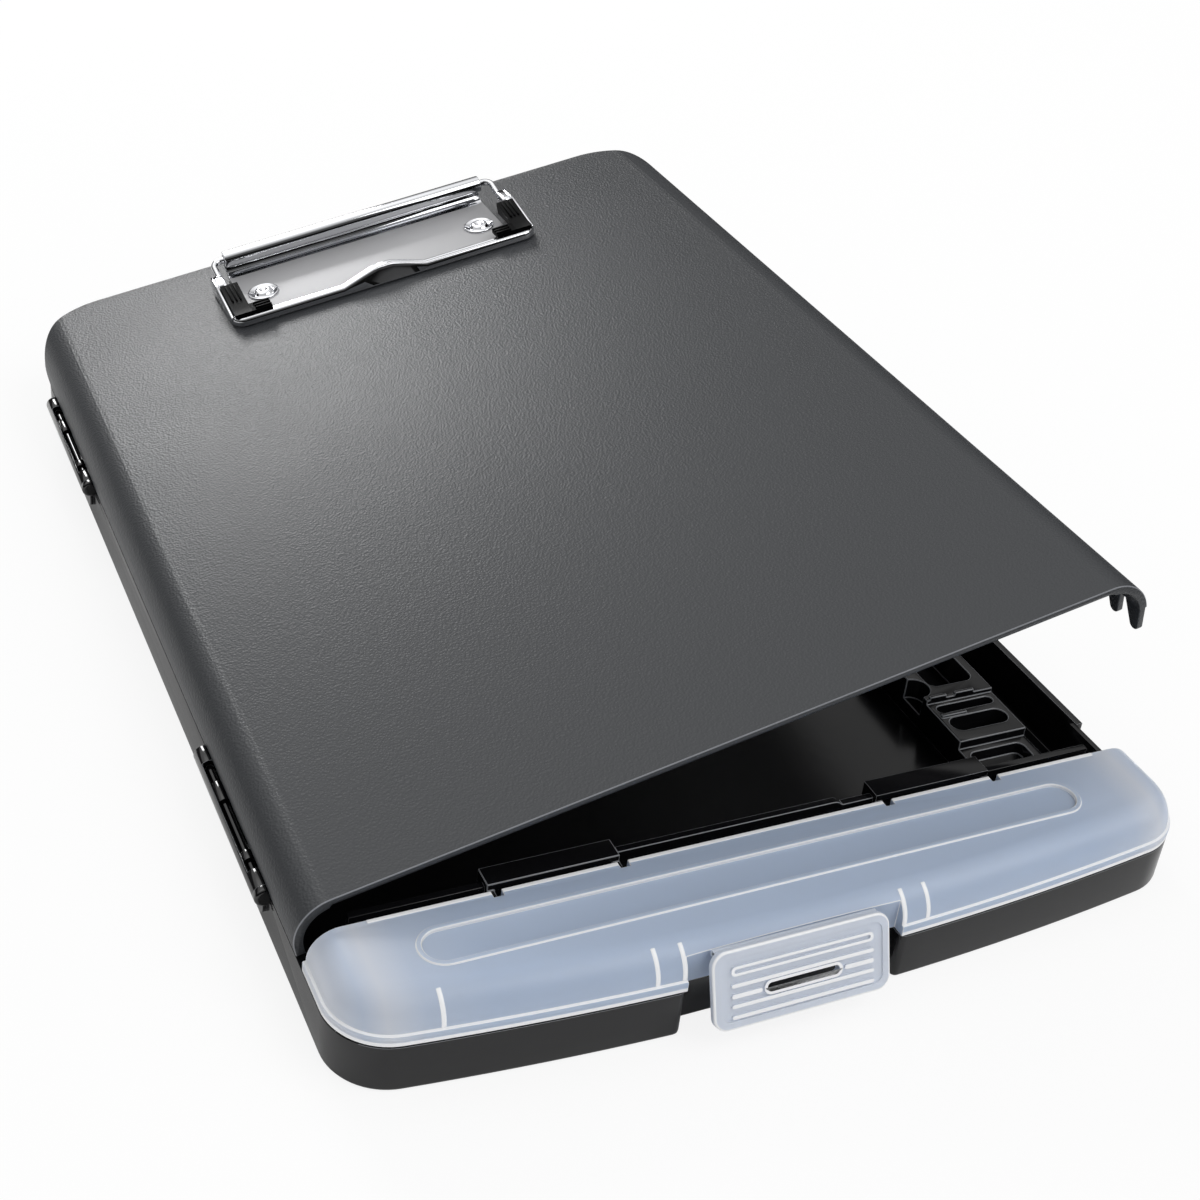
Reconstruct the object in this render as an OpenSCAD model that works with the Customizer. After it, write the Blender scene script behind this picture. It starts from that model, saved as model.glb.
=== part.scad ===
// Storage clipboard box.
// A shallow moulded tray carries a writing board as its hinged cover and a frosted
// lid over the pencil bay at the front.
// Millimetres. X to the right, Y towards the clip, Z up, base on z = 0.
// The cover is drawn ajar and the latch tab is drawn unlatched.

/* [Body] */
// width of the tray
body_w = 250; // [236:1:280]
// length from the front apex to the back edge
body_l = 375; // [360:1:420]
// height of the closed cover
body_h = 29.5; // [29:0.5:34]
// height of the seam on the hinge side
seam_h = 15; // [14.5:0.5:16]
// tray wall thickness
wall_t = 2.2; // [1.8:0.1:2.6]
// tray floor thickness
floor_t = 2.2; // [1.8:0.1:3]
// radius of the two front corners
front_r = 17.5; // [14:0.5:22]
// radius of the two back corners
back_r = 27; // [20:1:34]
// bulge of the front wall
front_bow = 8.7; // [5:0.1:11]
// distance from the front apex to the cover's front edge
bay_d = 42.4; // [40:0.2:50]

/* [Cover] */
// thickness of the cover skin
skin_t = 2.5; // [2:0.1:2.8]
// radius of the rolled edges
roll_r = 12; // [10:0.5:12.5]
// angle the cover is drawn open
rest_open = 12.7; // [0:0.1:20]

/* [Pencil lid] */
// lid wall thickness
lid_t = 1.5; // [1.2:0.1:1.8]
// drop of the lid below the cover top
lid_drop = 2.5; // [2:0.1:3]
// width of the notch at the latch
notch_w = 62; // [58:1:70]
// offset of the notch from the middle
notch_x = -7; // [-12:1:0]
// width of the latch tab
tab_w = 51; // [44:1:52]
// length of the latch tab
tab_l = 21.5; // [19:0.5:22]
// angle the latch tab is drawn out
tab_tilt = 20; // [14:1:30]

/* [Board hinges] */
// length of one hinge
hinge_l = 59.5; // [54:0.5:68]
// front end of the front hinge
hinge_front_y = -120; // [-130:0.5:-105]
// front end of the rear hinge
hinge_rear_y = 89; // [60:0.5:94]
// hinge knuckle radius
knuckle_r = 2.8; // [2.6:0.1:3]
// hinge pin radius
pin_r = 1.1; // [0.9:0.1:1.2]
// how far the hinge axis stands outside the wall
hinge_out = 1.3; // [1.2:0.1:1.8]

/* [Clip] */
// width of the jaw frame
jaw_w = 118; // [112:1:124]
// depth of the jaw frame from front to back
jaw_l = 30; // [29:0.5:31.5]
// width of the bars of the jaw frame
jaw_bar = 4.8; // [4:0.1:5.2]
// height of the bars of the jaw frame
jaw_h = 3.4; // [3:0.1:3.8]
// distance from the side of the base plate to the side of the jaw frame
plate_side = 8; // [7:0.5:10]
// front of the jaw frame measured from the centre of the body
jaw_y = 134; // [131:0.2:135]
// centre of the barrel measured from the centre of the body
barrel_y = 172; // [171:0.5:174]
// barrel radius
barrel_r = 3; // [2.8:0.1:3.2]
// distance from a rivet to the side of the base plate
rivet_in = 8.3; // [7:0.1:12]

/* [Hidden] */
$fn = 64;
// air between two bodies
gap = 0.3;
// radial clearance of a turning pin
run = 0.05;
eps = 0.01;
// flat of a swept edge that a panel laps over
lap = 1;

// radius of an arc from its half chord and its rise
function arc_r(c, s) = (c * c + s * s) / (2 * s);

half_w = body_w / 2;
half_l = body_l / 2;
// front bow circle and the front corner circles, tangent at an angle of whole thousandths
cf_x = half_w - front_r;
ang_f = round(1000 * asin(cf_x / (arc_r(half_w, front_bow) - front_r))) / 1000;
bow_f = front_r + cf_x / sin(ang_f);
bow_fy = -half_l + bow_f;
cf_y = bow_fy - cf_x / tan(ang_f);
// back corner circles
cb_x = half_w - back_r;
cb_y = half_l - back_r;

// seam and cover heights
skirt_z = seam_h + gap;
under_z = body_h - skin_t;
roll_z = body_h - roll_r;
cover_y = -half_l + bay_d;
// raised wall on the opening side
raise_z = seam_h + 2.8;
// notch edges
notch_l = notch_x - notch_w / 2;
notch_rt = notch_x + notch_w / 2;
recess_d = 6;
notch_d = 4;

// board hinge axis
hinge_x = -half_w - hinge_out;
hinge_z = seam_h;
leaf_t = 1.2;
leaf_h = 7.4;
// flat that the hinge turns towards the wall, its guard, and the knuckles inside the guard
hinge_flat = -half_w + 0.9;
guard_t = 0.55;
inner_r = knuckle_r - guard_t - gap;
lip_angle = 140;
cap_l = 2.3;
// closed length at each end of the hinge, and the cover knuckles as shares of its length
end_l = 6.8;
hook_a = [0.2, 0.26];
hook_b = [0.615, 0.75];

// divider between the paper bay and the pencil bay
div_y = cover_y + 0.1;
div_t = 2.2;
div_z = 24.5;
block_z = body_h - 3.5;
block_w = 37;
block_x = 57.5;

// pencil lid
lid_top = body_h - lid_drop;
rim_h = 3.1;
rim_in = 0.9;
lid_r = lid_top - skirt_z - rim_h;
lid_z = lid_top - lid_r;
lid_in = rim_in + lid_r;
lid_y = cover_y - 4.4;
// lid pivot
piv_y = lid_y - 2;
piv_z = lid_top - 4;
piv_r = 1;
lug_r = 2.2;
lug_t = 2;

// latch tab bead
bead_r = 0.95;
bead_y = -half_l + notch_d - 1.2;
bead_z = lid_top - 2.7;
tab_x = notch_x - 1;
tab_t = 1.5;
slot_w = 20.5;
slot_h = 1.8;
slot_v = 11;
catch_t = 0.8;
catch_z = bead_z - slot_v + 0.15;

// clip
plate_t = 1.2;
plate_w = jaw_w - 2 * plate_side;
plate_y = jaw_y + jaw_bar + 0.8;
rivet_gap = plate_w - 2 * rivet_in;
barrel_z = body_h + 8.5;
wire_r = 1.2;
wire_x = jaw_w / 2 - 3.5;
wire_y = jaw_y + jaw_l - 9;
arm_l = jaw_l - 18;
// slope of the wire down to the jaw
wire_tilt = 16;
jaw_z = body_h + gap;
jaw_r = 5;
rivet_y = jaw_y + 19;

black = [0.1, 0.1, 0.11];
grey = [0.27, 0.28, 0.3];
chrome = [0.8, 0.81, 0.83];
frost = [0.83, 0.87, 0.92, 0.7];

// ---- shared shapes ----

// plan of the body moved inwards by d
module body_plan(d) {
    intersection() {
        translate([0, bow_fy]) circle(r = bow_f - d, $fn = 360);
        polygon([[0, bow_fy], [-cf_x * 1.2, bow_fy - 1.2 * (bow_fy - cf_y)],
            [cf_x * 1.2, bow_fy - 1.2 * (bow_fy - cf_y)]]);
        translate([-half_w, -half_l - 5]) square([body_w, cf_y + half_l + 5]);
    }
    translate([-cb_x, 0]) square([2 * cb_x, half_l - d]);
    for (s = [-1, 1]) {
        translate([s * cf_x, cf_y]) circle(r = front_r - d, $fn = 96);
        translate([s * cb_x, cb_y]) circle(r = back_r - d, $fn = 96);
    }
    translate([-half_w + d, cf_y]) square([body_w - 2 * d, cb_y - cf_y]);
}

// plan of the tray with the latch recess taken out
module tray_plan(d) {
    difference() {
        body_plan(d);
        translate([notch_l - d, -half_l - 1])
            square([notch_w + 2 * d, recess_d + 1 + d]);
    }
}

// draws its children and their mirror image across the middle of the body
module both_sides() {
    children();
    mirror([1, 0, 0]) children();
}

// moves in two steps, whole units first, so that a long distance keeps its last digits
module place(v) {
    whole = [for (c = v) round(c)];
    translate(whole) translate(v - whole) children();
}

// carries a wall profile (x inwards, y up) along the front bow
module front_sweep() {
    both_sides() place([0, bow_fy, 0]) rotate([0, 0, 270])
        rotate_extrude(angle = ang_f, $fn = 720)
            place([bow_f, 0]) mirror([1, 0]) children();
}

// carries a wall profile round the front of the body
module round_front() {
    front_sweep() children();
    both_sides() place([-cf_x, cf_y, 0]) rotate([0, 0, 180])
        rotate_extrude(angle = 90 - ang_f, $fn = 96)
            translate([front_r, 0]) mirror([1, 0]) children();
}

// carries a wall profile along both straight sides, from y0 to y1
module along_sides(y0, y1) {
    both_sides() place([half_w, y0, 0]) rotate([90, 0, 180])
        linear_extrude(y1 - y0) children();
}

// rectangle with round corners, centred
module round_rect(w, h, r) {
    square([w - 2 * r, h], center = true);
    square([w, h - 2 * r], center = true);
    for (x = [-1, 1])
        for (y = [-1, 1])
            translate([x * (w / 2 - r), y * (h / 2 - r)]) circle(r = r);
}

// slot with round ends, centred
module stadium(w, h) {
    square([w - h, h], center = true);
    for (x = [-1, 1])
        translate([x * (w - h) / 2, 0]) circle(r = h / 2);
}

// rod along X from x0 to x1 at y, z
module rod_x(x0, x1, y, z, r) {
    translate([x0, y, z]) rotate([0, 90, 0]) cylinder(r = r, h = x1 - x0);
}

// rod along Y from y0 to y1 at x, z
module rod_y(y0, y1, x, z, r) {
    translate([x, y1, z]) rotate([90, 0, 0]) cylinder(r = r, h = y1 - y0);
}

// box from two corners
module box(a, b) {
    translate(a) cube(b - a);
}

// turns the cover and its fittings to the angle they are drawn at
module on_cover() {
    translate([hinge_x, 0, hinge_z]) rotate([0, -rest_open, 0])
        translate([-hinge_x, 0, -hinge_z]) children();
}

// places the latch tab at its bead
module on_tab() {
    translate([tab_x, bead_y, bead_z]) rotate([-tab_tilt, 0, 0]) children();
}

// ---- tray ----

module tray_shell() {
    color(black) difference() {
        union() {
            difference() {
                linear_extrude(seam_h) tray_plan(0);
                translate([0, 0, floor_t]) linear_extrude(seam_h) tray_plan(wall_t);
            }
            // raised wall on the opening side
            box([half_w - wall_t, cover_y - 0.6, floor_t], [half_w, cb_y - 0.5, raise_z]);
            // divider, its raised middle, and its ends under the rolled edges
            box([-half_w + 1, div_y, floor_t / 2], [half_w - 1, div_y + div_t, seam_h - 0.5]);
            difference() {
                box([-half_w + roll_r + 1, div_y, floor_t], [half_w - roll_r - 1, div_y + div_t, div_z]);
                for (s = [-1, 1])
                    box([s * block_x - block_w / 2, div_y - 1, 20],
                        [s * block_x + block_w / 2, div_y + div_t + 1, div_z + 1]);
            }
            box([notch_x - 27, div_y, floor_t], [notch_x + 37, div_y + div_t, block_z]);
            // catch for the latch slot
            box([tab_x - 8, -half_l + 1.6, catch_z - catch_t / 2 - 0.05],
                [tab_x + 8, -half_l + recess_d + 1, catch_z + catch_t / 2 - 0.05]);
            // inner cheek behind the snap prongs
            box([half_w - wall_t - 2, cover_y - 1.6, floor_t / 2],
                [half_w - wall_t + eps, cover_y + 18.8, raise_z]);
        }
        // window for the snap prongs
        box([half_w - 2.4, cover_y - 0.7, 7.5], [half_w + 1, cover_y + 17.6, raise_z + 1]);
        // seats of the hinges in the rim
        for (y = [hinge_front_y, hinge_rear_y])
            hinge_seat(y, run, hinge_flat + run);
    }
}

module organizer_insert() {
    x0 = half_w - 37;
    x1 = half_w - 13;
    y0 = cover_y + 14.6;
    color(black) difference() {
        union() {
            box([x0, y0, floor_t], [x1, y0 + 12, 9.5]);
            box([x0, y0 + 12, floor_t], [x1, y0 + 31, 12.5]);
            box([x0, y0 + 31, floor_t], [x1, y0 + 69, 14]);
            // raised lips across the steps
            box([x0 + 1, y0 + 23.6, 12], [x0 + 10, y0 + 24.8, 13.4]);
            box([x0 + 1, y0 + 31, 13.5], [x0 + 7, y0 + 32.2, 15]);
            box([x0 + 10, y0 + 31, 13.5], [x0 + 17, y0 + 32.2, 15]);
        }
        // front pocket
        translate([x0 + 11.5, y0 + 5.5, 5.5]) linear_extrude(10) round_rect(19, 8.4, 2.4);
        // slot with a round end
        translate([x0 + 12, y0 + 20, 5]) linear_extrude(10) stadium(20, 6.6);
        // narrow slot
        translate([x0 + 12, y0 + 27.8, 7]) linear_extrude(10) stadium(20, 3.4);
        // finger notch
        translate([x0, y0 + 38, 7]) cylinder(r = 4.6, h = 10);
        // long pen channel
        translate([x0 + 13, y0 + 51, 4.5]) linear_extrude(12) round_rect(16, 28, 3);
    }
}

// room of one hinge with its end cap, widened by d and cut off at a flat
module hinge_seat(y, d, flat) {
    intersection() {
        rod_y(y - cap_l - gap, y + hinge_l + gap, hinge_x, hinge_z, knuckle_r + d);
        box([-body_w, y - body_l, 0], [flat, y + body_l, body_h]);
    }
}
// tray half of a board hinge: a plate, closed ends, and a guard round the outer side of the pin
module tray_leaf(y) {
    color(black) difference() {
        union() {
            intersection() {
                rod_y(y, y + hinge_l, hinge_x, hinge_z, knuckle_r);
                box([-body_w, y - 1, 0], [hinge_flat, y + hinge_l + 1, body_h]);
            }
            translate([-half_w, y + hinge_l / 2, hinge_z - knuckle_r + 0.8 - leaf_h / 2]) rotate([90, 0, -90])
                linear_extrude(leaf_t) round_rect(hinge_l - 2, leaf_h, 3.4);
        }
        // channel behind the guard, open upwards and towards the cover
        rod_y(y + end_l, y + hinge_l - end_l, hinge_x, hinge_z, knuckle_r - guard_t);
        translate([hinge_x, y + hinge_l - end_l, hinge_z]) rotate([90, 0, 0])
            linear_extrude(hinge_l - 2 * end_l)
                polygon([[0, -1.2], [0, 0], 6 * [cos(lip_angle), sin(lip_angle)], [6, 6], [6, -1.2]]);
        rod_y(y - 1, y + hinge_l + 1, hinge_x, hinge_z, pin_r);
    }
}
module tray_leaf_front() tray_leaf(hinge_front_y);

module tray_leaf_rear() tray_leaf(hinge_rear_y);

module hinge_pin(y) {
    color(black) rod_y(y, y + hinge_l, hinge_x, hinge_z, pin_r);
}

module hinge_pin_front() hinge_pin(hinge_front_y);

module hinge_pin_rear() hinge_pin(hinge_rear_y);

// round cap on the front end of a board hinge
module hinge_cap(y) {
    color(black) intersection() {
        translate([hinge_x, y, hinge_z]) rotate([90, 0, 0]) rotate_extrude() {
            square([knuckle_r, cap_l - 0.9]);
            square([knuckle_r - 0.9, cap_l]);
            translate([knuckle_r - 0.9, cap_l - 0.9]) intersection() {
                circle(r = 0.9);
                square(0.9);
            }
        }
        box([-body_w, y - 5, 0], [hinge_flat, y + 1, body_h]);
    }
}
module hinge_cap_front() hinge_cap(hinge_front_y);

module hinge_cap_rear() hinge_cap(hinge_rear_y);

// block that carries the lid pivot, saddled over the divider
module pivot_block(x) {
    y0 = div_y - 1.2;
    color(black) difference() {
        union() {
            box([x - block_w / 2, y0, 12], [x + block_w / 2, div_y + 5.5, block_z]);
            for (e = [x - block_w / 2, x + block_w / 2 - lug_t]) {
                box([e, piv_y, piv_z - lug_r + 0.4], [e + lug_t, y0 + eps, piv_z + 1]);
                rod_x(e, e + lug_t, piv_y, piv_z, lug_r);
            }
        }
        box([x - block_w, div_y, 0], [x + block_w, div_y + div_t, 20]);
        rod_x(x - block_w, x + block_w, piv_y, piv_z, piv_r);
    }
}

module pivot_block_left() pivot_block(-block_x);

module pivot_block_right() pivot_block(block_x);

module pivot_pin(x) {
    color(chrome) rod_x(x - block_w / 2, x + block_w / 2, piv_y, piv_z, piv_r);
}

module pivot_pin_left() pivot_pin(-block_x);

module pivot_pin_right() pivot_pin(block_x);

// ---- cover ----

// section across the cover with its rolled sides, inset by d, down to z = foot
module cover_section(d, foot) {
    intersection() {
        union() {
            translate([-half_w + d, 0]) square([body_w - 2 * d, roll_z]);
            translate([-half_w + roll_r, 0]) square([body_w - 2 * roll_r, body_h - d]);
            for (s = [-1, 1])
                translate([s * (half_w - roll_r), roll_z]) circle(r = roll_r - d, $fn = 96);
        }
        translate([-body_w, foot]) square([2 * body_w, body_h]);
    }
}
// the section run back from y0 and trimmed to the plan of the body
module cover_block(d, foot, y0) {
    intersection() {
        translate([0, half_l + 1, 0]) rotate([90, 0, 0]) linear_extrude(half_l + 1 - y0)
            cover_section(d, foot);
        translate([0, 0, foot - 1]) linear_extrude(body_h) body_plan(d + run);
    }
}

// tapered snap prong with a round tip, drawn in the plane of the side wall
module snap_prong(y, w) {
    translate([half_w - 2, 0, 0]) rotate([90, 0, 90]) linear_extrude(2) {
        polygon([[y, roll_z + 1.5], [y + w, roll_z + 1.5], [y + 4.4, 10.8],
            [y + 2.6, 9.2], [y + 0.9, 10.4]]);
        translate([y + 2.6, 11]) circle(r = 1.8);
    }
}

module cover_panel() {
    color(grey) on_cover() {
        difference() {
            cover_block(0, skirt_z, cover_y);
            cover_block(skin_t, skirt_z - 1, cover_y - 1);
            // shorter skirt over the raised wall
            box([half_w - roll_r, cover_y - 1, 0], [half_w + 1, cb_y, raise_z + gap]);
            // room to turn round the hinges
            for (y = [hinge_front_y, hinge_rear_y])
                hinge_seat(y, gap, body_w);
            // rivet holes
            for (s = [-1, 1])
                translate([s * rivet_gap / 2, rivet_y, under_z - 1]) cylinder(r = 2, h = skin_t + 2);
        }
        snap_prong(cover_y, 8);
        snap_prong(cover_y + 9.2, 7.4);
    }
}

// cover half of a board hinge
module cover_leaf(y) {
    color(black) on_cover() difference() {
        for (k = [hook_a, hook_b]) {
            rod_y(y + k[0] * hinge_l, y + k[1] * hinge_l, hinge_x, hinge_z, inner_r);
            // arm that reaches out to the skirt
            intersection() {
                rod_y(y + k[0] * hinge_l, y + k[1] * hinge_l, hinge_x, hinge_z, knuckle_r + gap - run);
                box([hinge_x, y - 1, hinge_z + gap], [0, y + hinge_l + 1, hinge_z + 1.2]);
            }
        }
        rod_y(y - 1, y + hinge_l + 1, hinge_x, hinge_z, pin_r + run);
    }
}
module cover_leaf_front() cover_leaf(hinge_front_y);

module cover_leaf_rear() cover_leaf(hinge_rear_y);

// ---- clip ----

module clip_base_plate() {
    color(chrome) on_cover() difference() {
        union() {
            box([-plate_w / 2, plate_y, body_h], [plate_w / 2, barrel_y + 1, body_h + plate_t]);
            box([-plate_w / 2, barrel_y - 0.2, body_h], [plate_w / 2, barrel_y + 1, barrel_z]);
            rod_x(-plate_w / 2, plate_w / 2, barrel_y, barrel_z, barrel_r);
        }
        rod_x(-plate_w, plate_w, barrel_y, barrel_z, wire_r + run);
        rod_x(-plate_w / 2 + 4, plate_w / 2 - 4, barrel_y, barrel_z, barrel_r - 1);
        for (s = [-1, 1])
            translate([s * rivet_gap / 2, rivet_y, body_h - 1]) cylinder(r = 2, h = 4);
    }
}

module clip_rivets() {
    color(chrome) on_cover()
        for (s = [-1, 1])
            translate([s * rivet_gap / 2, rivet_y, 0]) {
                translate([0, 0, under_z - 0.8]) cylinder(r = 2, h = skin_t + plate_t + 1.2);
                translate([0, 0, under_z - 1.6]) cylinder(r = 3.4, h = 0.8);
                // dished head
                translate([0, 0, body_h + plate_t]) difference() {
                    cylinder(r1 = 5.8, r2 = 4.4, h = 1.5);
                    translate([0, 0, 0.7]) cylinder(r1 = 1.8, r2 = 3.2, h = 1);
                }
            }
}

module clip_washers() {
    color(chrome) on_cover()
        for (s = [-1, 1])
            translate([s * rivet_gap / 2, rivet_y, under_z - 0.8]) difference() {
                cylinder(r = 6, h = 0.8);
                translate([0, 0, -1]) cylinder(r = 2, h = 3);
            }
}

// pair of torsion springs coiled inside the barrel
module clip_spring() {
    turn = 1.4;
    turns = 10;
    color(chrome) on_cover()
        for (s = [-1, 1])
            difference() {
                x = s * plate_w / 6 - turns * turn / 2;
                for (i = [0 : turns - 1]) {
                    rod_x(x + i * turn, x + i * turn + 1, barrel_y, barrel_z, barrel_r - 1);
                    rod_x(x + i * turn, x + (i + 1) * turn, barrel_y, barrel_z, barrel_r - 1.2);
                }
                rod_x(x - 1, x + (turns + 1) * turn, barrel_y, barrel_z, wire_r + gap);
            }
}

// plan of the jaw frame moved inwards by d, cut off square at the back
module jaw_plan(d) {
    translate([0, jaw_y + jaw_l / 2]) difference() {
        round_rect(jaw_w - 2 * d, jaw_l - 2 * d, jaw_r - d);
        translate([-jaw_w, jaw_l / 2 - d - eps]) square([2 * jaw_w, 40]);
    }
}

// space inside the bars of the jaw frame, open at the back
module jaw_window() {
    translate([-jaw_w / 2 + jaw_bar, jaw_y + jaw_bar]) square([jaw_w - 2 * jaw_bar, 60]);
}

module jaw_frame() {
    color(chrome) on_cover() difference() {
        union() {
            // flat frame open at the back
            translate([0, 0, jaw_z]) linear_extrude(jaw_h) difference() {
                jaw_plan(0);
                jaw_window();
            }
            // side arms that hold the wire
            for (s = [-1, 1])
                translate([s * (jaw_w - jaw_bar) / 2, jaw_y + jaw_l - arm_l, jaw_z + jaw_h - 1])
                    box([-jaw_bar / 2, 0, -1], [jaw_bar / 2, arm_l, barrel_z - jaw_z - jaw_h + 0.2]);
            // finger lift
            translate([0, jaw_y + jaw_bar / 2, jaw_z + jaw_h - 0.4]) rotate([90, 0, 0])
                linear_extrude(1.6, center = true)
                    polygon([[-14, 0], [-6, 3], [6, 3], [14, 0]]);
        }
        // hollow under the front bar
        box([-jaw_w / 2 + 6, jaw_y + 1.4, jaw_z - 1], [jaw_w / 2 - 6, jaw_y + jaw_bar - 1.2, jaw_z + 2]);
        on_wire() for (s = [-1, 1])
            rod_y(wire_y, barrel_y, s * wire_x, barrel_z, wire_r);
    }
}

// leans what it holds about the barrel, down towards the front
module on_wire() {
    translate([0, barrel_y, barrel_z]) rotate([wire_tilt, 0, 0])
        translate([0, -barrel_y, -barrel_z]) children();
}
module jaw_wire() {
    bend = 3;
    color(chrome) on_cover() on_wire() {
        rod_x(-wire_x + bend, wire_x - bend, barrel_y, barrel_z, wire_r);
        for (s = [-1, 1])
            mirror([s < 0 ? 1 : 0, 0, 0]) {
                translate([wire_x - bend, barrel_y - bend, barrel_z])
                    rotate_extrude(angle = 90) translate([bend, 0]) circle(r = wire_r, $fn = 32);
                rod_y(wire_y, barrel_y - bend, wire_x, barrel_z, wire_r);
            }
    }
}

// ribbed corner pad on the jaw, drawn for the right side
module corner_pad() {
    x1 = jaw_w / 2 - 0.8;
    z0 = jaw_z + jaw_h;
    difference() {
        union() {
            box([x1 - 7, jaw_y + 1.2, z0], [x1, jaw_y + 17.6, z0 + 1.6]);
            box([x1 - 15.5, jaw_y + 1.2, z0], [x1 - 6, jaw_y + 7, z0 + 1.6]);
            box([x1 - 7, jaw_y + 1.2, jaw_z + 0.4], [x1 - 4.2, jaw_y + 8, z0 + eps]);
            box([x1 - 5.4, jaw_y + 10, z0 + 1.5], [x1 - 4.4, jaw_y + 16, z0 + 2.1]);
            box([x1 - 3.2, jaw_y + 10, z0 + 1.5], [x1 - 2.2, jaw_y + 16, z0 + 2.1]);
            box([x1 - 14.6, jaw_y + 2.2, z0 + 1.5], [x1 - 8.6, jaw_y + 3.2, z0 + 2.1]);
            box([x1 - 14.6, jaw_y + 4.6, z0 + 1.5], [x1 - 8.6, jaw_y + 5.6, z0 + 2.1]);
        }
        translate([0, 0, jaw_z - 5]) linear_extrude(5 + jaw_h) difference() {
            jaw_plan(-eps);
            jaw_window();
        }
    }
}

module corner_pad_right() {
    color(black) on_cover() corner_pad();
}

module corner_pad_left() {
    color(black) on_cover() mirror([1, 0, 0]) corner_pad();
}

// ---- pencil lid ----

module lid_profile() {
    translate([0, skirt_z]) square([2, rim_h]);
    translate([rim_in, skirt_z + 1]) square([lid_t, lid_z - skirt_z - 1]);
    intersection() {
        translate([lid_in, lid_z]) difference() {
            circle(r = lid_r, $fn = 96);
            circle(r = lid_r - lid_t, $fn = 96);
        }
        translate([rim_in, lid_z]) square(lid_r);
    }
    translate([lid_in, lid_top - lid_t]) square([lap, lid_t]);
}

// the same profile filled, for the walls of the notch
module lid_fill() {
    translate([0, skirt_z]) square([2, rim_h]);
    translate([rim_in, skirt_z]) square([lid_r, lid_z - skirt_z]);
    intersection() {
        translate([lid_in, lid_z]) circle(r = lid_r, $fn = 96);
        translate([rim_in, lid_z]) square(lid_r);
    }
}

// blade that stands on the dome
module lid_fin() {
    intersection() {
        translate([lid_in, lid_z]) difference() {
            circle(r = lid_r + 0.7, $fn = 96);
            circle(r = lid_r - 0.5, $fn = 96);
        }
        translate([rim_in - 0.6, lid_z]) square([lid_r - 0.6, lid_r]);
    }
}

module pencil_lid() {
    color(frost) difference() {
        union() {
            difference() {
                union() {
                    round_front() lid_profile();
                    along_sides(cf_y, lid_y) lid_profile();
                    translate([0, 0, lid_top - lid_t]) linear_extrude(lid_t) intersection() {
                        body_plan(lid_in + lap / 2);
                        translate([-half_w, -half_l]) square([body_w, half_l + lid_y]);
                    }
                }
                // notch at the latch
                box([notch_l, -half_l - 1, 0], [notch_rt, -half_l + notch_d, body_h]);
                // oblong recess in the top
                translate([notch_x / 2, lid_y - 14, lid_top - 0.6]) linear_extrude(2) stadium(192, 11);
            }
            // walls of the notch
            intersection() {
                front_sweep() lid_fill();
                union() {
                    box([notch_l - lid_t, -half_l + notch_d, 0],
                        [notch_rt + lid_t, -half_l + notch_d + lid_t, body_h]);
                    for (x = [notch_l - lid_t, notch_rt])
                        box([x, -half_l - 1, 0], [x + lid_t, -half_l + notch_d + lid_t, body_h]);
                }
            }
            // blades beside the notch and near the ends
            intersection() {
                front_sweep() lid_fin();
                for (x = [-93, -39, 39, 93])
                    box([notch_x + x - 0.45, -half_l - 2, 0], [notch_x + x + 0.45, -half_l + 30, body_h]);
            }
            // socket for the bead of the tab
            difference() {
                rod_x(tab_x - tab_w / 2 + 1.5, tab_x + tab_w / 2 - 1.5, bead_y, bead_z, bead_r + 0.75);
                translate([0, bead_y, bead_z]) rotate([90, 0, 90]) linear_extrude(body_w, center = true)
                    polygon([[0, 0], [-3, -1.4], [-4, 4], [1.4, 3]]);
            }
            // knuckles on the pivot pins
            for (s = [-1, 1]) {
                a = s * block_x - block_w / 2 + lug_t + gap;
                b = s * block_x + block_w / 2 - lug_t - gap;
                rod_x(a, b, piv_y, piv_z, lug_r);
                box([a, piv_y - 1.4, piv_z], [b, piv_y + 1.4, lid_top - lid_t / 2]);
            }
        }
        // bores
        for (s = [-1, 1])
            rod_x(s * block_x - block_w, s * block_x + block_w, piv_y, piv_z, piv_r + run);
        rod_x(notch_l, notch_rt, bead_y, bead_z, bead_r + run);
        // clearance at the ends of the pivot blocks
        for (s = [-1, 1])
            for (e = [s * block_x - block_w / 2, s * block_x + block_w / 2 - lug_t])
                box([e - 0.4, piv_y - 1.4, piv_z + 1], [e + lug_t + 0.4, lid_y + 1, body_h]);
    }
}

module latch_tab() {
    color(frost) on_tab() {
        rod_x(-tab_w / 2 + 2, tab_w / 2 - 2, 0, 0, bead_r);
        box([-tab_w / 2 + 2, -2.4, -0.4], [tab_w / 2 - 2, 0, 0.4]);
        translate([0, -1.9, 1.5 - tab_l / 2]) rotate([90, 0, 0]) difference() {
            union() {
                linear_extrude(tab_t) round_rect(tab_w, tab_l, 4);
                // raised border
                linear_extrude(tab_t + 0.5) difference() {
                    round_rect(tab_w, tab_l, 4);
                    round_rect(tab_w - 4, tab_l - 4, 2.4);
                }
                // grip ribs
                for (v = [6.4, 4.2, -5.2, -7])
                    translate([0, v]) linear_extrude(tab_t + 0.4) stadium(40, 0.9);
                for (x = [-16, 16])
                    translate([x, -0.2]) linear_extrude(tab_t + 0.4) stadium(8, 0.9);
            }
            translate([0, 0.25 + tab_l / 2 - 1.5 - slot_v, -1]) linear_extrude(tab_t + 4) stadium(slot_w, slot_h);
        }
    }
}

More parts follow.
